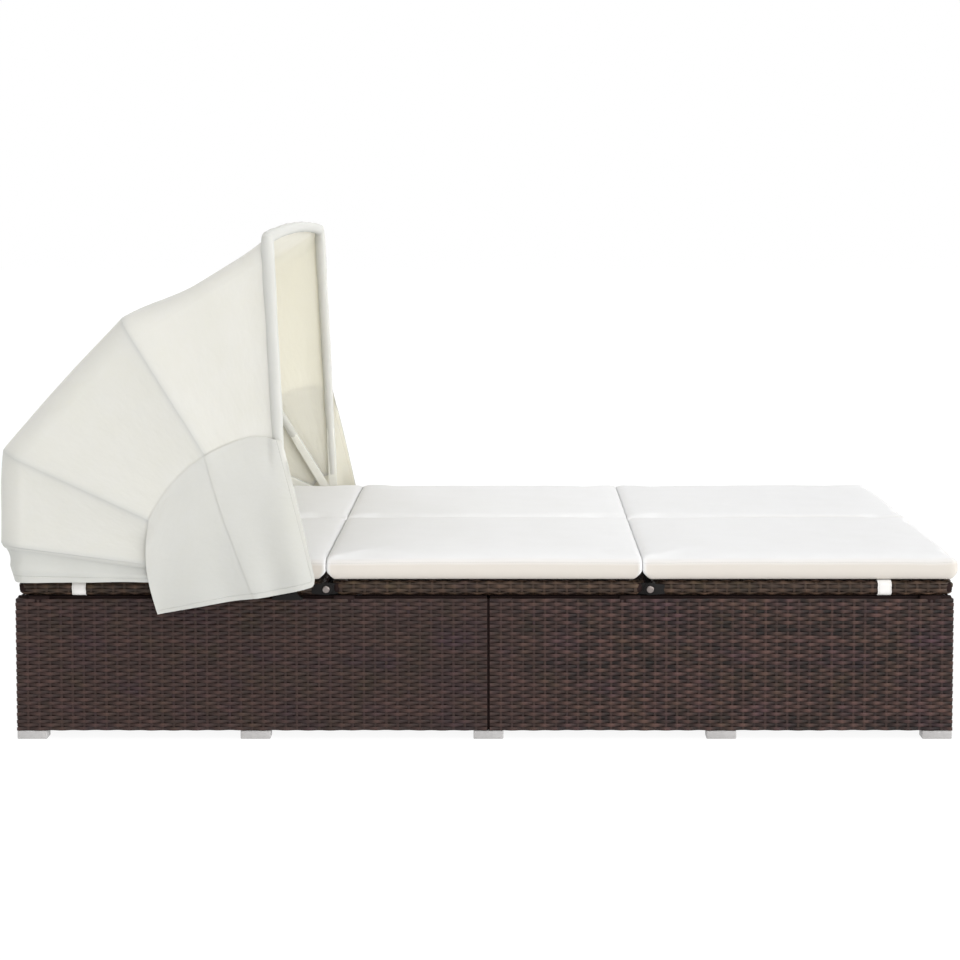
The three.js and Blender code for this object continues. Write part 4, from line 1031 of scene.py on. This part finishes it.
def shape_cushion(block, x0, x1, y0, y1, z0, z1, seams):
    """Rounds the plan corners and rims, crowns the top and draws the long sides in a little."""
    co = points_of(block)
    depth = z1 - z0
    set_uv(block, np.stack([co[:, 0] - x0, co[:, 1] - y0 + (co[:, 2] - z1)], 1))
    middle = np.array([(x0 + x1) / 2, (y0 + y1) / 2])
    half = np.array([(x1 - x0) / 2, (y1 - y0) / 2])
    flat = co[:, :2] - middle
    at_seam = seams_at(flat[:, 0], half[0], seams)
    # Corners in plan, hardly rounded where a seam joins the next section
    inside = half - np.where(at_seam, SEAM_CORNER, CUSHION_CORNER)[:, None]
    beyond = np.maximum(np.abs(flat) - inside, 0)
    reach = np.linalg.norm(beyond, axis=1)
    fit = np.where(reach > 1e-9, beyond.max(axis=1) / np.maximum(reach, 1e-9), 1.0)
    both = (beyond > 0).all(axis=1)
    flat = np.where(both[:, None], np.sign(flat) * (inside + beyond * fit[:, None]), flat)
    # Upper and lower rims, and the sides between them
    edge = np.min(half - np.abs(flat), axis=1)
    near_edge = np.clip(1 - edge / SIDE_REACH, 0, 1)
    height = (co[:, 2] - z0) / depth
    top = np.clip(1 - (1 - height) * depth / CUSHION_ROUND_TOP, 0, 1)
    top_x = np.where(at_seam, top * SEAM_ROUNDING, top)
    under = CUSHION_ROUND_BOTTOM * quarter_round(np.clip(1 - height * depth / CUSHION_ROUND_BOTTOM, 0, 1))
    rim = under + CUSHION_ROUND_TOP * quarter_round(top)
    rim_x = under + CUSHION_ROUND_TOP * quarter_round(top_x)
    bulge = SIDE_BULGE * np.sin(math.pi * height) * (1 - top)
    draw = SIDE_DRAW * (1 - np.abs(flat[:, 0] / half[0]) ** 2)
    scale_y = 1 - (rim - bulge + draw) * near_edge / half[1]
    scale_x = 1 - (rim_x - bulge) * near_edge / half[0]
    flat = flat * np.stack([scale_x, scale_y], 1)
    # Top, full in the middle and drawn down at the rim and most of all at a seam
    fade = np.clip(edge / CROWN_REACH, 0, 1)
    seam_near = at_seam * np.clip(1 - (half[0] - np.abs(flat[:, 0])) / CUSHION_CELL, 0, 1)
    crown = CUSHION_CROWN * fade * (2 - fade) - RIM_DIP * near_edge ** 2 - SEAM_DIP * seam_near
    co[:, :2] = flat + middle
    co[:, 2] += crown * height
    for sign in seams:
        notch_side(co, x1 if sign > 0 else x0, sign, z0)
    # Painted shade: the sides and the upper rim are painted towards the warm deep colour, which also damps
    # the rim's highlight, apart from the walls that face a seam
    end_wall = at_seam & (half[0] - np.abs(flat[:, 0]) < SEAM_WALL)
    rim_shade_share = np.clip((z1 + 0.001 - co[:, 2]) / 0.006, 0, 0.5) * (edge < RIM_BAND)
    below = np.where(end_wall, 0, rim_shade_share + np.clip((z1 - 0.006 - co[:, 2]) / 0.010, 0, 0.5))
    set_value(block, "tone", 1 - (1 - SHADE_TONE) * below)
    set_value(block, "edge", HEM_WIDTH + np.abs(height - WELT_HEIGHT) * depth + 0.5 * (edge > 0.004))
    return set_points(block, co)


def seams_at(x, half, seams):
    """Whether a point is on the half of the cushion that ends in a seam."""
    marks = np.zeros(len(x), dtype=bool)
    for sign in seams:
        marks |= x * sign > half * 0.5
    return marks


def notch_side(co, end, sign, z0):
    """Rounds the lower edge at a seam, which leaves the V under the fold."""
    inward = (end - co[:, 0]) * sign
    near = inward < CUSHION_NOTCH
    lift = np.clip(1 - inward / CUSHION_NOTCH, 0, 1)
    round_in = CUSHION_NOTCH * quarter_round(np.clip(1 - (co[:, 2] - z0) / CUSHION_NOTCH, 0, 1))
    co[:, 0] = np.where(near, co[:, 0] - sign * round_in * lift, co[:, 0])


def puff(block):
    """Fills the cover with cloth simulation, then holds each point within the cap.

    Only heights and the outer sides move, because a filled end would draw away from its seam.
    """
    start = points_of(block)
    group = block.vertex_groups.new(name="Held")
    held = np.where(start[:, 2] < start[:, 2].min() + 0.004)[0]
    group.add([int(index) for index in held], 1.0, "REPLACE")
    cloth = modified(block, "CLOTH")
    for key, value in FILLING.items():
        setattr(cloth.settings, key, value)
    cloth.settings.effector_weights.gravity = 0
    cloth.collision_settings.use_collision = False
    scene = bpy.context.scene
    for number in range(1, FILLING_FRAMES + 1):
        scene.frame_set(number)
    apply_modifiers(block)
    scene.frame_set(1)
    moved = points_of(block) - start
    moved[:, 0] = 0
    moved[:, 1] *= np.abs(start[:, 1]) > OUTER_HALF_Y
    length = np.maximum(np.linalg.norm(moved, axis=1, keepdims=True), 1e-9)
    set_points(block, start + moved * np.minimum(1, CUSHION_CAP / length))


def wrinkle_cushion(block, seams, x0, x1):
    """Small folds that run in from the seams and corners of the cover."""
    co = points_of(block)
    lift = np.zeros(len(co))
    for index, point in enumerate(co):
        broad = noise.noise(Vector((point[0] * 5, point[1] * 5, 1.3)))
        fine = noise.noise(Vector((point[0] * 16, point[1] * 22, 4.1)))
        lift[index] = BROAD_FOLD * broad + FINE_FOLD * fine
    for sign in seams:
        end = x1 if sign > 0 else x0
        near = np.exp(-np.abs(end - co[:, 0]) / SEAM_FOLD_REACH)
        lift += SEAM_FOLD * near * np.sin(co[:, 1] * 95 + 3 * np.sin(co[:, 1] * 23))
    top = np.clip((co[:, 2] - co[:, 2].min()) / 0.04, 0, 1) ** 2
    co[:, 2] += lift * top
    set_points(block, co)


def hold_seams(block, x0, x1, y0, y1, seams):
    """Keeps the filled cover from crossing its neighbours, and lets it bulge a little elsewhere."""

    def margin(meets, gap):
        return gap if meets else -BULGE_ROOM

    co = points_of(block)
    co[:, 0] = np.clip(co[:, 0], x0 + margin(-1 in seams, SEAM_CLEAR), x1 - margin(1 in seams, SEAM_CLEAR))
    co[:, 1] = np.clip(co[:, 1], y0 + margin(y0 > 0, SIDE_CLEAR), y1 - margin(y0 < 0, SIDE_CLEAR))
    set_points(block, co)


def cushions():
    for section, (x0, x1, seams) in CUSHION_SPANS.items():
        for side, sign in SIDES.items():
            y0, y1 = sorted((sign * CUSHION_HALF_GAP, sign * CUSHION_HALF_WIDTH))
            block = cushion_block(f"{section}_cushion_{side}_cover", x0, x1, y0, y1, *CUSHION_Z, seams)
            puff(block)
            hold_seams(block, x0, x1, y0, y1, seams)
            wrinkle_cushion(block, seams, x0, x1)
            modified(block, "SUBSURF", levels=1, render_levels=1)
            dress(smooth(apply_modifiers(block), 70), cushion_white)
            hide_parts(f"{section}_cushion_{side}")
            if section == "seat":
                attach(block, "root")
                continue
            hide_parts(f"{section}_cushion_fold_{side}")
            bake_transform(block)


# Straps
def strap(node, body):
    """A webbing band round the side rail, from a flat ring of its section."""
    low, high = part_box(node)
    deselect()
    bpy.ops.mesh.primitive_grid_add(x_subdivisions=6, y_subdivisions=64, size=1)
    band = newest(node + "_webbing")
    co = points_of(band)
    size = high - low
    width, half_y, half_z = size.x, size.y / 2 - STRAP_CLEAR, size.z / 2 - STRAP_CLEAR
    total = rounded_path(half_y, half_z, STRAP_CORNER, np.zeros(1))[2]
    across, share = co[:, 0] * width, co[:, 1] + 0.5
    around = rounded_path(half_y, half_z, STRAP_CORNER, share * total * 0.99999)[0]
    set_uv(band, np.stack([across, share * total], 1))
    placed = np.column_stack([across + 0.0003 * np.sin(share * 40), around])
    set_points(band, placed + np.array((low + high) / 2))
    set_value(band, "tone", np.ones(len(co)))
    set_value(band, "edge", HEM_WIDTH - 0.003 + width / 2 - np.abs(across))
    outwards(merge_points(band))
    dress(smooth(thickened(band, STRAP_THICKNESS)), strap_white)
    node.split("_")[0] + "_frame_cover"
    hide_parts(node)
    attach(band, body)


def straps():
    for section in FROM_HINGE:
        for side in SIDES:
            strap(f"{section}_strap_{side}", SECTION_BODY[section])


# Canopy
def mirrored(near):
    """The near half of a bow's stations and their mirror on the far side."""
    near = np.array(near)
    flip = np.ones(near.shape[1])
    flip[[1, 2]] = -1
    return np.concatenate([near, near[-2::-1] * flip])


def bow_line(name, start):
    """Stations along half a bow: height in its plane, place across the bed and outward direction."""
    _, reach, arch = BOWS[name]
    straight = reach - BOW_CORNER
    crown_half = BOW_HALF_SPAN - BOW_CORNER
    line = []
    for i in range(LEG_STEPS):
        line.append((start + (straight - start) * i / LEG_STEPS, -BOW_HALF_SPAN, -1.0, 0.0))
    for i in range(CORNER_STEPS):
        turn = i / CORNER_STEPS * math.pi / 2
        line.append((straight + BOW_CORNER * math.sin(turn), -crown_half - BOW_CORNER * math.cos(turn),
                     -math.cos(turn), math.sin(turn)))
    for i in range(CROWN_STEPS + 1):
        share = i / CROWN_STEPS
        line.append((reach + arch * (1 - (1 - share) ** 2), -crown_half * (1 - share), 0.0, 1.0))
    return line


def bow_up(name):
    """Direction of a bow's plane away from the pivot."""
    angle = BOWS[name][0]
    return np.array([-math.cos(angle), 0, math.sin(angle)])


def bow_tip(name):
    """The top of a bow's legs, seen from the pivot."""
    return bow_up(name) * BOWS[name][1]


def unit(vectors):
    return vectors / np.maximum(np.linalg.norm(vectors, axis=1, keepdims=True), 1e-12)


def spread(out_y, out_z, up):
    """Directions that are made up of a part across the bed and a part along up."""
    return out_y[:, None] * ACROSS_BED + out_z[:, None] * up


def bow_centres(name):
    """Middle line of a bow under the cloth, with the two parts of its outward direction."""
    stations = mirrored(bow_line(name, CLOTH_START))
    centres = np.array(PIVOT) + spread(stations[:, 1], stations[:, 0], bow_up(name))
    return centres, stations[:, 2], stations[:, 3]


def flat_lines(grid):
    """Places of a grid's columns and rows when the cloth lies flat."""
    steps = [np.linalg.norm(np.diff(grid, axis=axis), axis=2).mean(axis=1 - axis) for axis in (1, 0)]
    return [np.concatenate([[0], np.cumsum(line)]) for line in steps]


def grid_piece(name, grid, tone=1.0, edge=1.0):
    """A sheet of quads through the given points, with its flat place as UV and its painted tone."""
    rows, columns = grid.shape[:2]
    deselect()
    bpy.ops.mesh.primitive_grid_add(x_subdivisions=columns - 1, y_subdivisions=rows - 1, size=1)
    piece = newest(name)
    co = points_of(piece)
    column = np.round((co[:, 0] + 0.5) * (columns - 1)).astype(int)
    row = np.round((co[:, 1] + 0.5) * (rows - 1)).astype(int)
    set_points(piece, grid[row, column])
    u, v = flat_lines(grid)
    set_uv(piece, np.stack([u[column], v[row]], 1))
    set_value(piece, "tone", np.broadcast_to(tone, (rows, columns))[row, column])
    set_value(piece, "edge", np.broadcast_to(edge, (rows, columns))[row, column])
    return piece


def grid_area(grid):
    a, b, c, d = grid[:-1, :-1], grid[:-1, 1:], grid[1:, 1:], grid[1:, :-1]
    first = np.linalg.norm(np.cross(b - a, c - a), axis=2)
    second = np.linalg.norm(np.cross(c - a, d - a), axis=2)
    return float((first + second).sum() / 2)


def on_border(piece):
    """Which points of a sheet lie on its open border."""
    uses = Counter(key for face in piece.data.polygons for key in face.edge_keys)
    border = np.zeros(len(piece.data.vertices), dtype=bool)
    border[[point for key, count in uses.items() if count == 1 for point in key]] = True
    return border


def finish_cloth(piece, grid):
    only(piece)
    face = piece.data.polygons[len(piece.data.polygons) // 2]
    if face.normal.dot(face.center - PIVOT) < 0:
        edit_all("FACE", bpy.ops.mesh.flip_normals)
    border = on_border(piece)
    thickened(piece, CLOTH_THICKNESS, use_even_offset=False)
    # Apart from the border, the inner faces are painted in the lit inside colour as painted light
    values = values_of(piece, "tone")
    values[len(border):] = np.where(border, values[:len(border)], INSIDE_LIGHT_TONE)
    set_value(piece, "tone", values)
    dress(smooth(piece, 70), canopy_cream)
    grid_area(grid)


# Bows: round tube, pressed flat where it is bored for the pivot
def tube_line(name, layer):
    """Stations along half a bow, with its half thickness, its half width and how square it is."""
    pressed = (-(TONGUE_Y + TONGUE_PITCH * layer), TONGUE_HALF_THICKNESS, NECK_HALF_WIDTH, FLAT_SQUARENESS)
    tube = (-BOW_HALF_SPAN, BOW_RADIUS, BOW_RADIUS, ROUND_SQUARENESS)
    line = [(height, pressed[0], -1.0, 0.0, pressed[1], half, FLAT_SQUARENESS)
            for height, half in TONGUE_OUTLINE]
    for step in range(1, NECK_STEPS):
        share = ease(step / NECK_STEPS)
        y, thick, half, squareness = (a + (b - a) * share for a, b in zip(pressed, tube))
        line.append((TONGUE_END + (TUBE_START - TONGUE_END) * step / NECK_STEPS, y, -1.0, 0.0,
                     thick, half, squareness))
    return line + [(*station, *tube[1:]) for station in bow_line(name, TUBE_START)]


def squared(value, squareness):
    return np.sign(value) * np.abs(value) ** (2 / squareness)


def round_the_bow(name, stations, thick, half, squareness, sides):
    """Rings of points round a bow: thick is its half depth outwards, half its half width in the fold."""
    up = bow_up(name)
    ahead = np.array([up[2], 0, -up[0]])
    centres = np.array(PIVOT) + spread(stations[:, 1], stations[:, 0], up)
    out = unit(spread(stations[:, 2], stations[:, 3], up))
    rings = []
    for i in range(sides + 1):
        turn = (i % sides) / sides * 2 * math.pi
        beside = (half * squared(math.cos(turn), squareness))[:, None] * ahead
        away = (thick * squared(math.sin(turn), squareness))[:, None] * out
        rings.append(centres + beside + away)
    return np.array(rings)


def canopy_bows():
    for layer, name in enumerate(BOWS):
        stations = mirrored(tube_line(name, layer))
        tube = grid_piece(f"bow_tube_{name}", round_the_bow(name, stations, *stations.T[4:], 20))
        merge_points(tube, 0.00005)
        edit_all("EDGE", bpy.ops.mesh.fill_holes, sides=24)
        dress(smooth(outwards(tube), 50), bow_white)
        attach(tube, BOW_BODY[name])
        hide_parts(f"canopy_bow_{name}")


def bow_sleeve(name, label, thick, half, tone, far_tone=None, waver=0.0, stand=0.0):
    """Sewn channel of cloth that holds a bow, and stands off it at the corners."""
    stations = mirrored(bow_line(name, CLOTH_START))
    _, y, out_y, out_z = stations.T
    count = np.arange(len(stations))
    wave = 1 + waver * np.sin(count * 0.55) * np.sin(count * 0.21 + 1)
    off = stand * (1 / np.maximum(np.abs(out_y), np.abs(out_z)) - 1) / CORNER_SPARE
    squareness = np.full(len(stations), SLEEVE_SQUARENESS)
    rings = round_the_bow(name, stations, thick * wave + off / 2, half * wave, squareness, 24)
    rings += off[None, :, None] / 2 * unit(spread(out_y, out_z, bow_up(name)))[None]
    # Painted shade, which gives way to the far side's lighter tone towards the far side
    painted = tone + ((far_tone or tone) - tone) * ease((y - 0.45) / 0.2)
    piece = outwards(merge_points(grid_piece(f"canopy_{label}", rings, painted), 0.00005))
    dress(smooth(thickened(piece, CLOTH_THICKNESS), 70), canopy_cream)
    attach(piece, BOW_BODY[name])
    return rings.reshape(-1, 3)


def bow_sleeves():
    """The channels of the hood's cloth. Returns the front one's points for laying the flaps over it."""
    for name, tone in CHANNEL_TONES.items():
        bow_sleeve(name, f"channel_{name}", CHANNEL_RADIUS, CHANNEL_RADIUS, tone)
    height = mirrored(bow_line("front", CLOTH_START))[:, 0]
    half = SLEEVE_HALF_LOW + (SLEEVE_HALF_HIGH - SLEEVE_HALF_LOW) * ease(height / 0.7)
    return bow_sleeve("front", "front_sleeve", SLEEVE_THICK, half, SLEEVE_TONE,
                      far_tone=SLEEVE_FAR_TONE, waver=SLEEVE_WAVER, stand=SLEEVE_STAND)


def chord_normals(first, second):
    """Outward directions of the cloth between two bows at each station, and directions across it."""
    a, out_y, out_z = bow_centres(first)
    b = bow_centres(second)[0]
    chord = bow_tip(second) - bow_tip(first)
    chord /= np.linalg.norm(chord)
    out = spread(out_y, out_z, np.array([-chord[2], 0, chord[0]]))
    along = unit(b - a)
    return unit(out - along * np.sum(out * along, axis=1, keepdims=True)), along


def hood_outs():
    """Outward directions shared by the cloth on both sides of each bow."""
    rear_low = chord_normals("rear", "low")[0]
    low_middle = chord_normals("low", "middle")[0]
    middle_front = chord_normals("middle", "front")[0]
    _, out_y, out_z = bow_centres("rear")
    return {
        "rear": unit(spread(out_y, out_z, TO_HEAD)),
        "low": unit(rear_low + low_middle),
        "middle": unit(low_middle + middle_front),
        "front": middle_front,
    }


def panel_surface(first, second, outs, slack_crown, slack_side, dip_crown, dip_side):
    """Points of the cloth between two bows: round each tube, and slack in between."""
    a, _, out_z = bow_centres(first)
    b = bow_centres(second)[0]
    out, along = chord_normals(first, second)
    span = np.linalg.norm(b - a, axis=1)

    def lean(name):
        return np.arctan2(-np.sum(outs[name] * along, axis=1), np.sum(outs[name] * out, axis=1))

    def turned(centres, turn):
        return centres + CLOTH_CLEAR * (np.cos(turn)[:, None] * out + np.sin(turn)[:, None] * along)

    before = np.maximum(lean(first), 0)
    leave = CLOTH_CLEAR * before
    total = leave + span + CLOTH_CLEAR * np.maximum(-lean(second), 0)
    slack = slack_side + (slack_crown - slack_side) * out_z
    dip = dip_side + (dip_crown - dip_side) * out_z
    rows = np.linspace(0, 1, ACROSS_STEPS + 1)
    grid = np.zeros((len(rows), len(a), 3))
    for row, share in enumerate(rows):
        run = share * total
        t = np.clip((run - leave) / span, 0, 1)
        depth = 4 * t * (1 - t) * slack + dip * ease((t - 0.55) / 0.45)
        middle = a + along * (t * span)[:, None] + out * (CLOTH_CLEAR - depth)[:, None]
        over_first = turned(a, -np.maximum(before - run / CLOTH_CLEAR, 0))
        over_second = turned(b, np.maximum((run - leave - span) / CLOTH_CLEAR, 0))
        grid[row] = np.where((run > leave + span)[:, None], over_second, middle)
        grid[row] = np.where((run < leave)[:, None], over_first, grid[row])
    return grid, out, rows


def ripple(grid, out, rows, seed):
    """Soft unevenness and short tension folds, fading out towards the seams."""
    fade = np.sin(math.pi * rows) ** 0.6
    for row, column in np.ndindex(grid.shape[:2]):
        x, y, z = grid[row, column]
        broad = noise.noise(Vector((x * 4 + seed, y * 4, z * 4)))
        fine = noise.noise(Vector((x * 11, y * 11 + seed, z * 11)))
        grid[row, column] += out[column] * RIPPLE * fade[row] * (broad + 0.35 * fine)


def painted_bow_shade(grid, base, *bows):
    """Painted shadow of each bow along the line where the cloth runs over it, and painted shade where the
    side flaps double the cloth.
    """
    tone = np.full(grid.shape[:2], base)
    aside = (grid - np.array(PIVOT))[:, :, [0, 2]]
    for name in bows:
        up = bow_up(name)
        away = np.abs(aside[:, :, 0] * up[2] - aside[:, :, 1] * up[0])
        tone *= 1 - BOW_SHADOW * np.exp(-(away / BOW_SHADOW_REACH) ** 2)
    doubled = ease((FLAP_RADIUS - np.linalg.norm(aside, axis=2)) / HEM_WIDTH)
    return tone * (1 - DOUBLED_SHADE * (np.abs(grid[:, :, 1]) > 0.6) * doubled)


def blend_between(piece, first, second):
    """Bakes the cloth's placing into its points; the middle direction of the two bows is worked out but not
    used.
    """
    middle = bow_up(first) + bow_up(second)
    middle /= np.linalg.norm(middle)
    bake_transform(piece)


def canopy_panels():
    """The three fields of the hood's cloth. Returns their side points for sewing on the flaps."""
    outs = hood_outs()
    sides = []
    for number, (name, (first, second, tone, *slack)) in enumerate(PANELS.items()):
        grid, out, rows = panel_surface(first, second, outs, *slack)
        ripple(grid, out, rows, number * 7.7)
        piece = grid_piece(f"canopy_cloth_{name}", grid, painted_bow_shade(grid, tone, first, second))
        finish_cloth(piece, grid)
        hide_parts(f"canopy_panel_{name}")
        blend_between(piece, first, second)
        sides.append(grid.reshape(-1, 3))
    return np.concatenate(sides)


def skirt():
    """Hangs from the rear bow round the head end, with soft folds above its hem."""
    centres, out_y, out_z = bow_centres("rear")
    keep = centres[:, 0] < PIVOT.x + SKIRT_FRONT
    centres, out_y, out_z = centres[keep], out_y[keep], out_z[keep]
    out = unit(spread(out_y, out_z, TO_HEAD))
    top = centres + out * (CLOTH_CLEAR - 0.001)
    hem = top.copy()
    hem[:, 0] += out_z * (HEM_X - top[:, 0].min())
    hem[:, 2] = HEM_Z
    run = np.concatenate([[0], np.cumsum(np.linalg.norm(np.diff(top, axis=0), axis=1))])
    fold = sum(height * np.sin(run * turns + start) for height, turns, start in SKIRT_FOLDS)
    grid = np.zeros((SKIRT_ROWS + 1, len(top), 3))
    for row in range(SKIRT_ROWS + 1):
        share = row / SKIRT_ROWS
        tuck = -SKIRT_TUCK * math.sin(math.pi * min(share * 1.6, 1)) + SKIRT_FLARE * share
        grid[row] = top * (1 - share) + hem * share + out * (fold * share ** 0.8 + tuck)[:, None]
    down = np.linspace(0, 1, SKIRT_ROWS + 1)[:, None]
    # Painted shade, darkest at the top under the bow
    tone = SKIRT_TONE - SKIRT_TOP_SHADE * np.exp(-(down / SKIRT_TOP_SHARE) ** 2)
    piece = grid_piece("canopy_skirt_cloth", grid, tone, (1 - down) * (centres[:, 2].mean() - HEM_Z))
    finish_cloth(piece, grid)
    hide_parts("canopy_skirt")
    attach(piece, "root")


def hem_point(along):
    """A smooth curve through the flap hem's points."""
    count = len(FLAP_HEM) - 1
    index = min(int(along * count), count - 1)
    t = along * count - index
    p0, p1, p2, p3 = (np.array(FLAP_HEM[min(max(i, 0), count)]) for i in range(index - 1, index + 3))
    return 0.5 * (2 * p1 + (p2 - p0) * t + (2 * p0 - 5 * p1 + 4 * p2 - p3) * t * t
                  + (3 * p1 - p0 - 3 * p2 + p3) * t ** 3)


def rounded_corner(down, along):
    """Draws the front lower corner of the flap into a round one."""
    start, size = 1 - FLAP_CORNER, FLAP_CORNER
    u, v = (along - start) / size, (down - start) / size
    if u <= 0 or v <= 0:
        return down, along
    return start + size * v * math.sqrt(1 - u * u / 2), start + size * u * math.sqrt(1 - v * v / 2)


def flap_point(down, along):
    """A place on the hanging flap: two sizes in its plane and how far its folds stand out."""
    turn = FLAP_ARC[0] + (FLAP_ARC[1] - FLAP_ARC[0]) * along
    radius = FLAP_RADIUS - FLAP_DROP * ease((along - 0.8) / 0.2)
    top = np.array([radius * math.cos(turn), radius * math.sin(turn)])
    x, z = top + (hem_point(along) - top) * down
    bulge = (-FLAP_DROP * (1 - along) + 0.002 * along) * math.sin(math.pi * down)
    folds = FLAP_FOLD * math.sin(along * 3 * math.pi) ** 2 + FLAP_WAVE * math.sin(along * 21 + down * 2.5)
    soft = FLAP_SOFTNESS * noise.noise(Vector((x * 9, z * 9, 3.3)))
    return x + bulge, folds * down ** 1.2 + soft * down, z


def flap_grid(span, sign, lap):
    """Points of one part of a flap, and about how far each lies from its hem."""
    grid = np.zeros((FLAP_ROWS + 1, FLAP_COLUMNS + 1, 3))
    edge = np.ones(grid.shape[:2])
    for row, column in np.ndindex(edge.shape):
        down = row / FLAP_ROWS
        share, along = rounded_corner(down, span[0] + (span[1] - span[0]) * column / FLAP_COLUMNS)
        x, away, z = flap_point(share, along)
        grid[row, column] = (PIVOT.x + x, sign * (FLAP_Y + away + lap), PIVOT.z + z)
        edge[row, column] = min(0.35 * (1 - down), 0.32 * (1 - along), 0.02 + 0.38 * along)
    return grid, edge


def sew_on(grid, sign, cloth_points, lap):
    """Lays the top of the flap on the hood's cloth and keeps the rest clear of it."""
    side = cloth_points[cloth_points[:, 1] * sign > 0.55]
    for row, line in enumerate(grid):
        apart = (line[:, None, 0] - side[None, :, 0]) ** 2 + (line[:, None, 2] - side[None, :, 2]) ** 2
        laid = np.where(apart < FLAP_FEEL ** 2, side[None, :, 1] * sign, 0).max(axis=1) + FLAP_LAID + lap
        share = ease(row / FLAP_ROWS / 0.3)
        free = line[:, 1] * sign
        away = np.where(laid > 0.6, laid * (1 - share) + np.maximum(free, laid) * share, free)
        line[:, 1] = sign * away


def flaps(cloth_points):
    """Side flaps, each in two pieces that lap at the middle bow."""
    parts = (("rear", "low", "middle", (0.0, FLAP_SPLIT + FLAP_OVERLAP)),
             ("front", "middle", "front", (FLAP_SPLIT, 1.0)))
    # Painted shade, darker towards the hem
    tone = FLAP_TONE - FLAP_HEM_SHADE * np.linspace(0, 1, FLAP_ROWS + 1)[:, None] ** 1.5
    for side, sign in SIDES.items():
        for number, (label, first, second, span) in enumerate(parts):
            lap = number * FLAP_LAP
            grid, edge = flap_grid(span, sign, lap)
            sew_on(grid, sign, cloth_points, lap)
            piece = grid_piece(f"canopy_flap_{side}_{label}", grid, tone, edge)
            finish_cloth(piece, grid)
            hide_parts(f"canopy_flap_{side}")
            blend_between(piece, first, second)


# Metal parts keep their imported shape
def metal_nodes():
    dark = (steel_black, "dark_steel")
    finishes = dict.fromkeys(("tie_beam", "back_prop", "leg_prop", "back_rack_frame", "leg_rack_frame"), dark)
    for side in SIDES:
        finishes[f"canopy_bracket_{side}"] = dark
        finishes[f"canopy_knob_{side}"] = (knob_black, "knob")
    for node, (material, slot) in finishes.items():
        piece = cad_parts[node]
        piece.data.materials.clear()
        piece.data.materials.append(material)


# Surroundings, light and camera
def surroundings():
    deselect()
    bpy.ops.mesh.primitive_plane_add(size=60, location=(0, 0, FLOOR_Z))
    floor = newest("floor")
    white = Finish(bpy.data.materials.new("floor_white"), Roughness=0.95, Specular_IOR_Level=0.0,
                   Emission_Color=(1.0, 1.0, 1.0, 1.0), Emission_Strength=0.92)
    shade = white.noise(white.object_place(), 0.6, 2.0)
    floor.data.materials.append(white.finished(
        Base_Color=white.mix(shade, (0.12, 0.12, 0.12, 1), (0.14, 0.14, 0.14, 1))))


def studio_sky():
    """White at the horizon, where the backdrop is seen, and dimmer above."""
    world = bpy.context.scene.world or bpy.data.worlds.new("studio")
    bpy.context.scene.world = world
    sky = Finish(world, "Background", Strength=1.0)
    height = sky.split(sky.node("ShaderNodeTexCoord", {}, output="Generated"))[2]
    sky.finished(Color=sky.node("ShaderNodeValToRGB", {"stops": SKY_STOPS}, height))


def soft_lights():
    for name, (place, energy, degrees) in LIGHTS.items():
        bpy.ops.object.light_add(type="SUN", location=place)
        light = bpy.context.object
        light.name = name
        light.data.energy = energy
        light.data.angle = math.radians(degrees)
        light.rotation_euler = (-Vector(place)).to_track_quat("-Z", "Y").to_euler()


def camera():
    bpy.ops.object.camera_add(location=CAMERA_PLACE)
    eye = bpy.context.object
    eye.data.lens = CAMERA_LENS
    eye.data.sensor_width = 36
    eye.data.shift_x = CAMERA_SHIFT_X
    eye.data.shift_y = CAMERA_SHIFT_Y
    eye.rotation_euler = (CAMERA_AIM - CAMERA_PLACE).to_track_quat("-Z", "Y").to_euler()
    bpy.context.scene.camera = eye
    bpy.context.scene.view_settings.view_transform = "Standard"


camera()
surroundings()
studio_sky()
soft_lights()
metal_nodes()
base_panels()
feet()
section_frames()
hinge_bolts()
cushions()
straps()
canopy_bows()
front_sleeve = bow_sleeves()
flaps(np.concatenate([canopy_panels(), front_sleeve]))
skirt()

deselect()
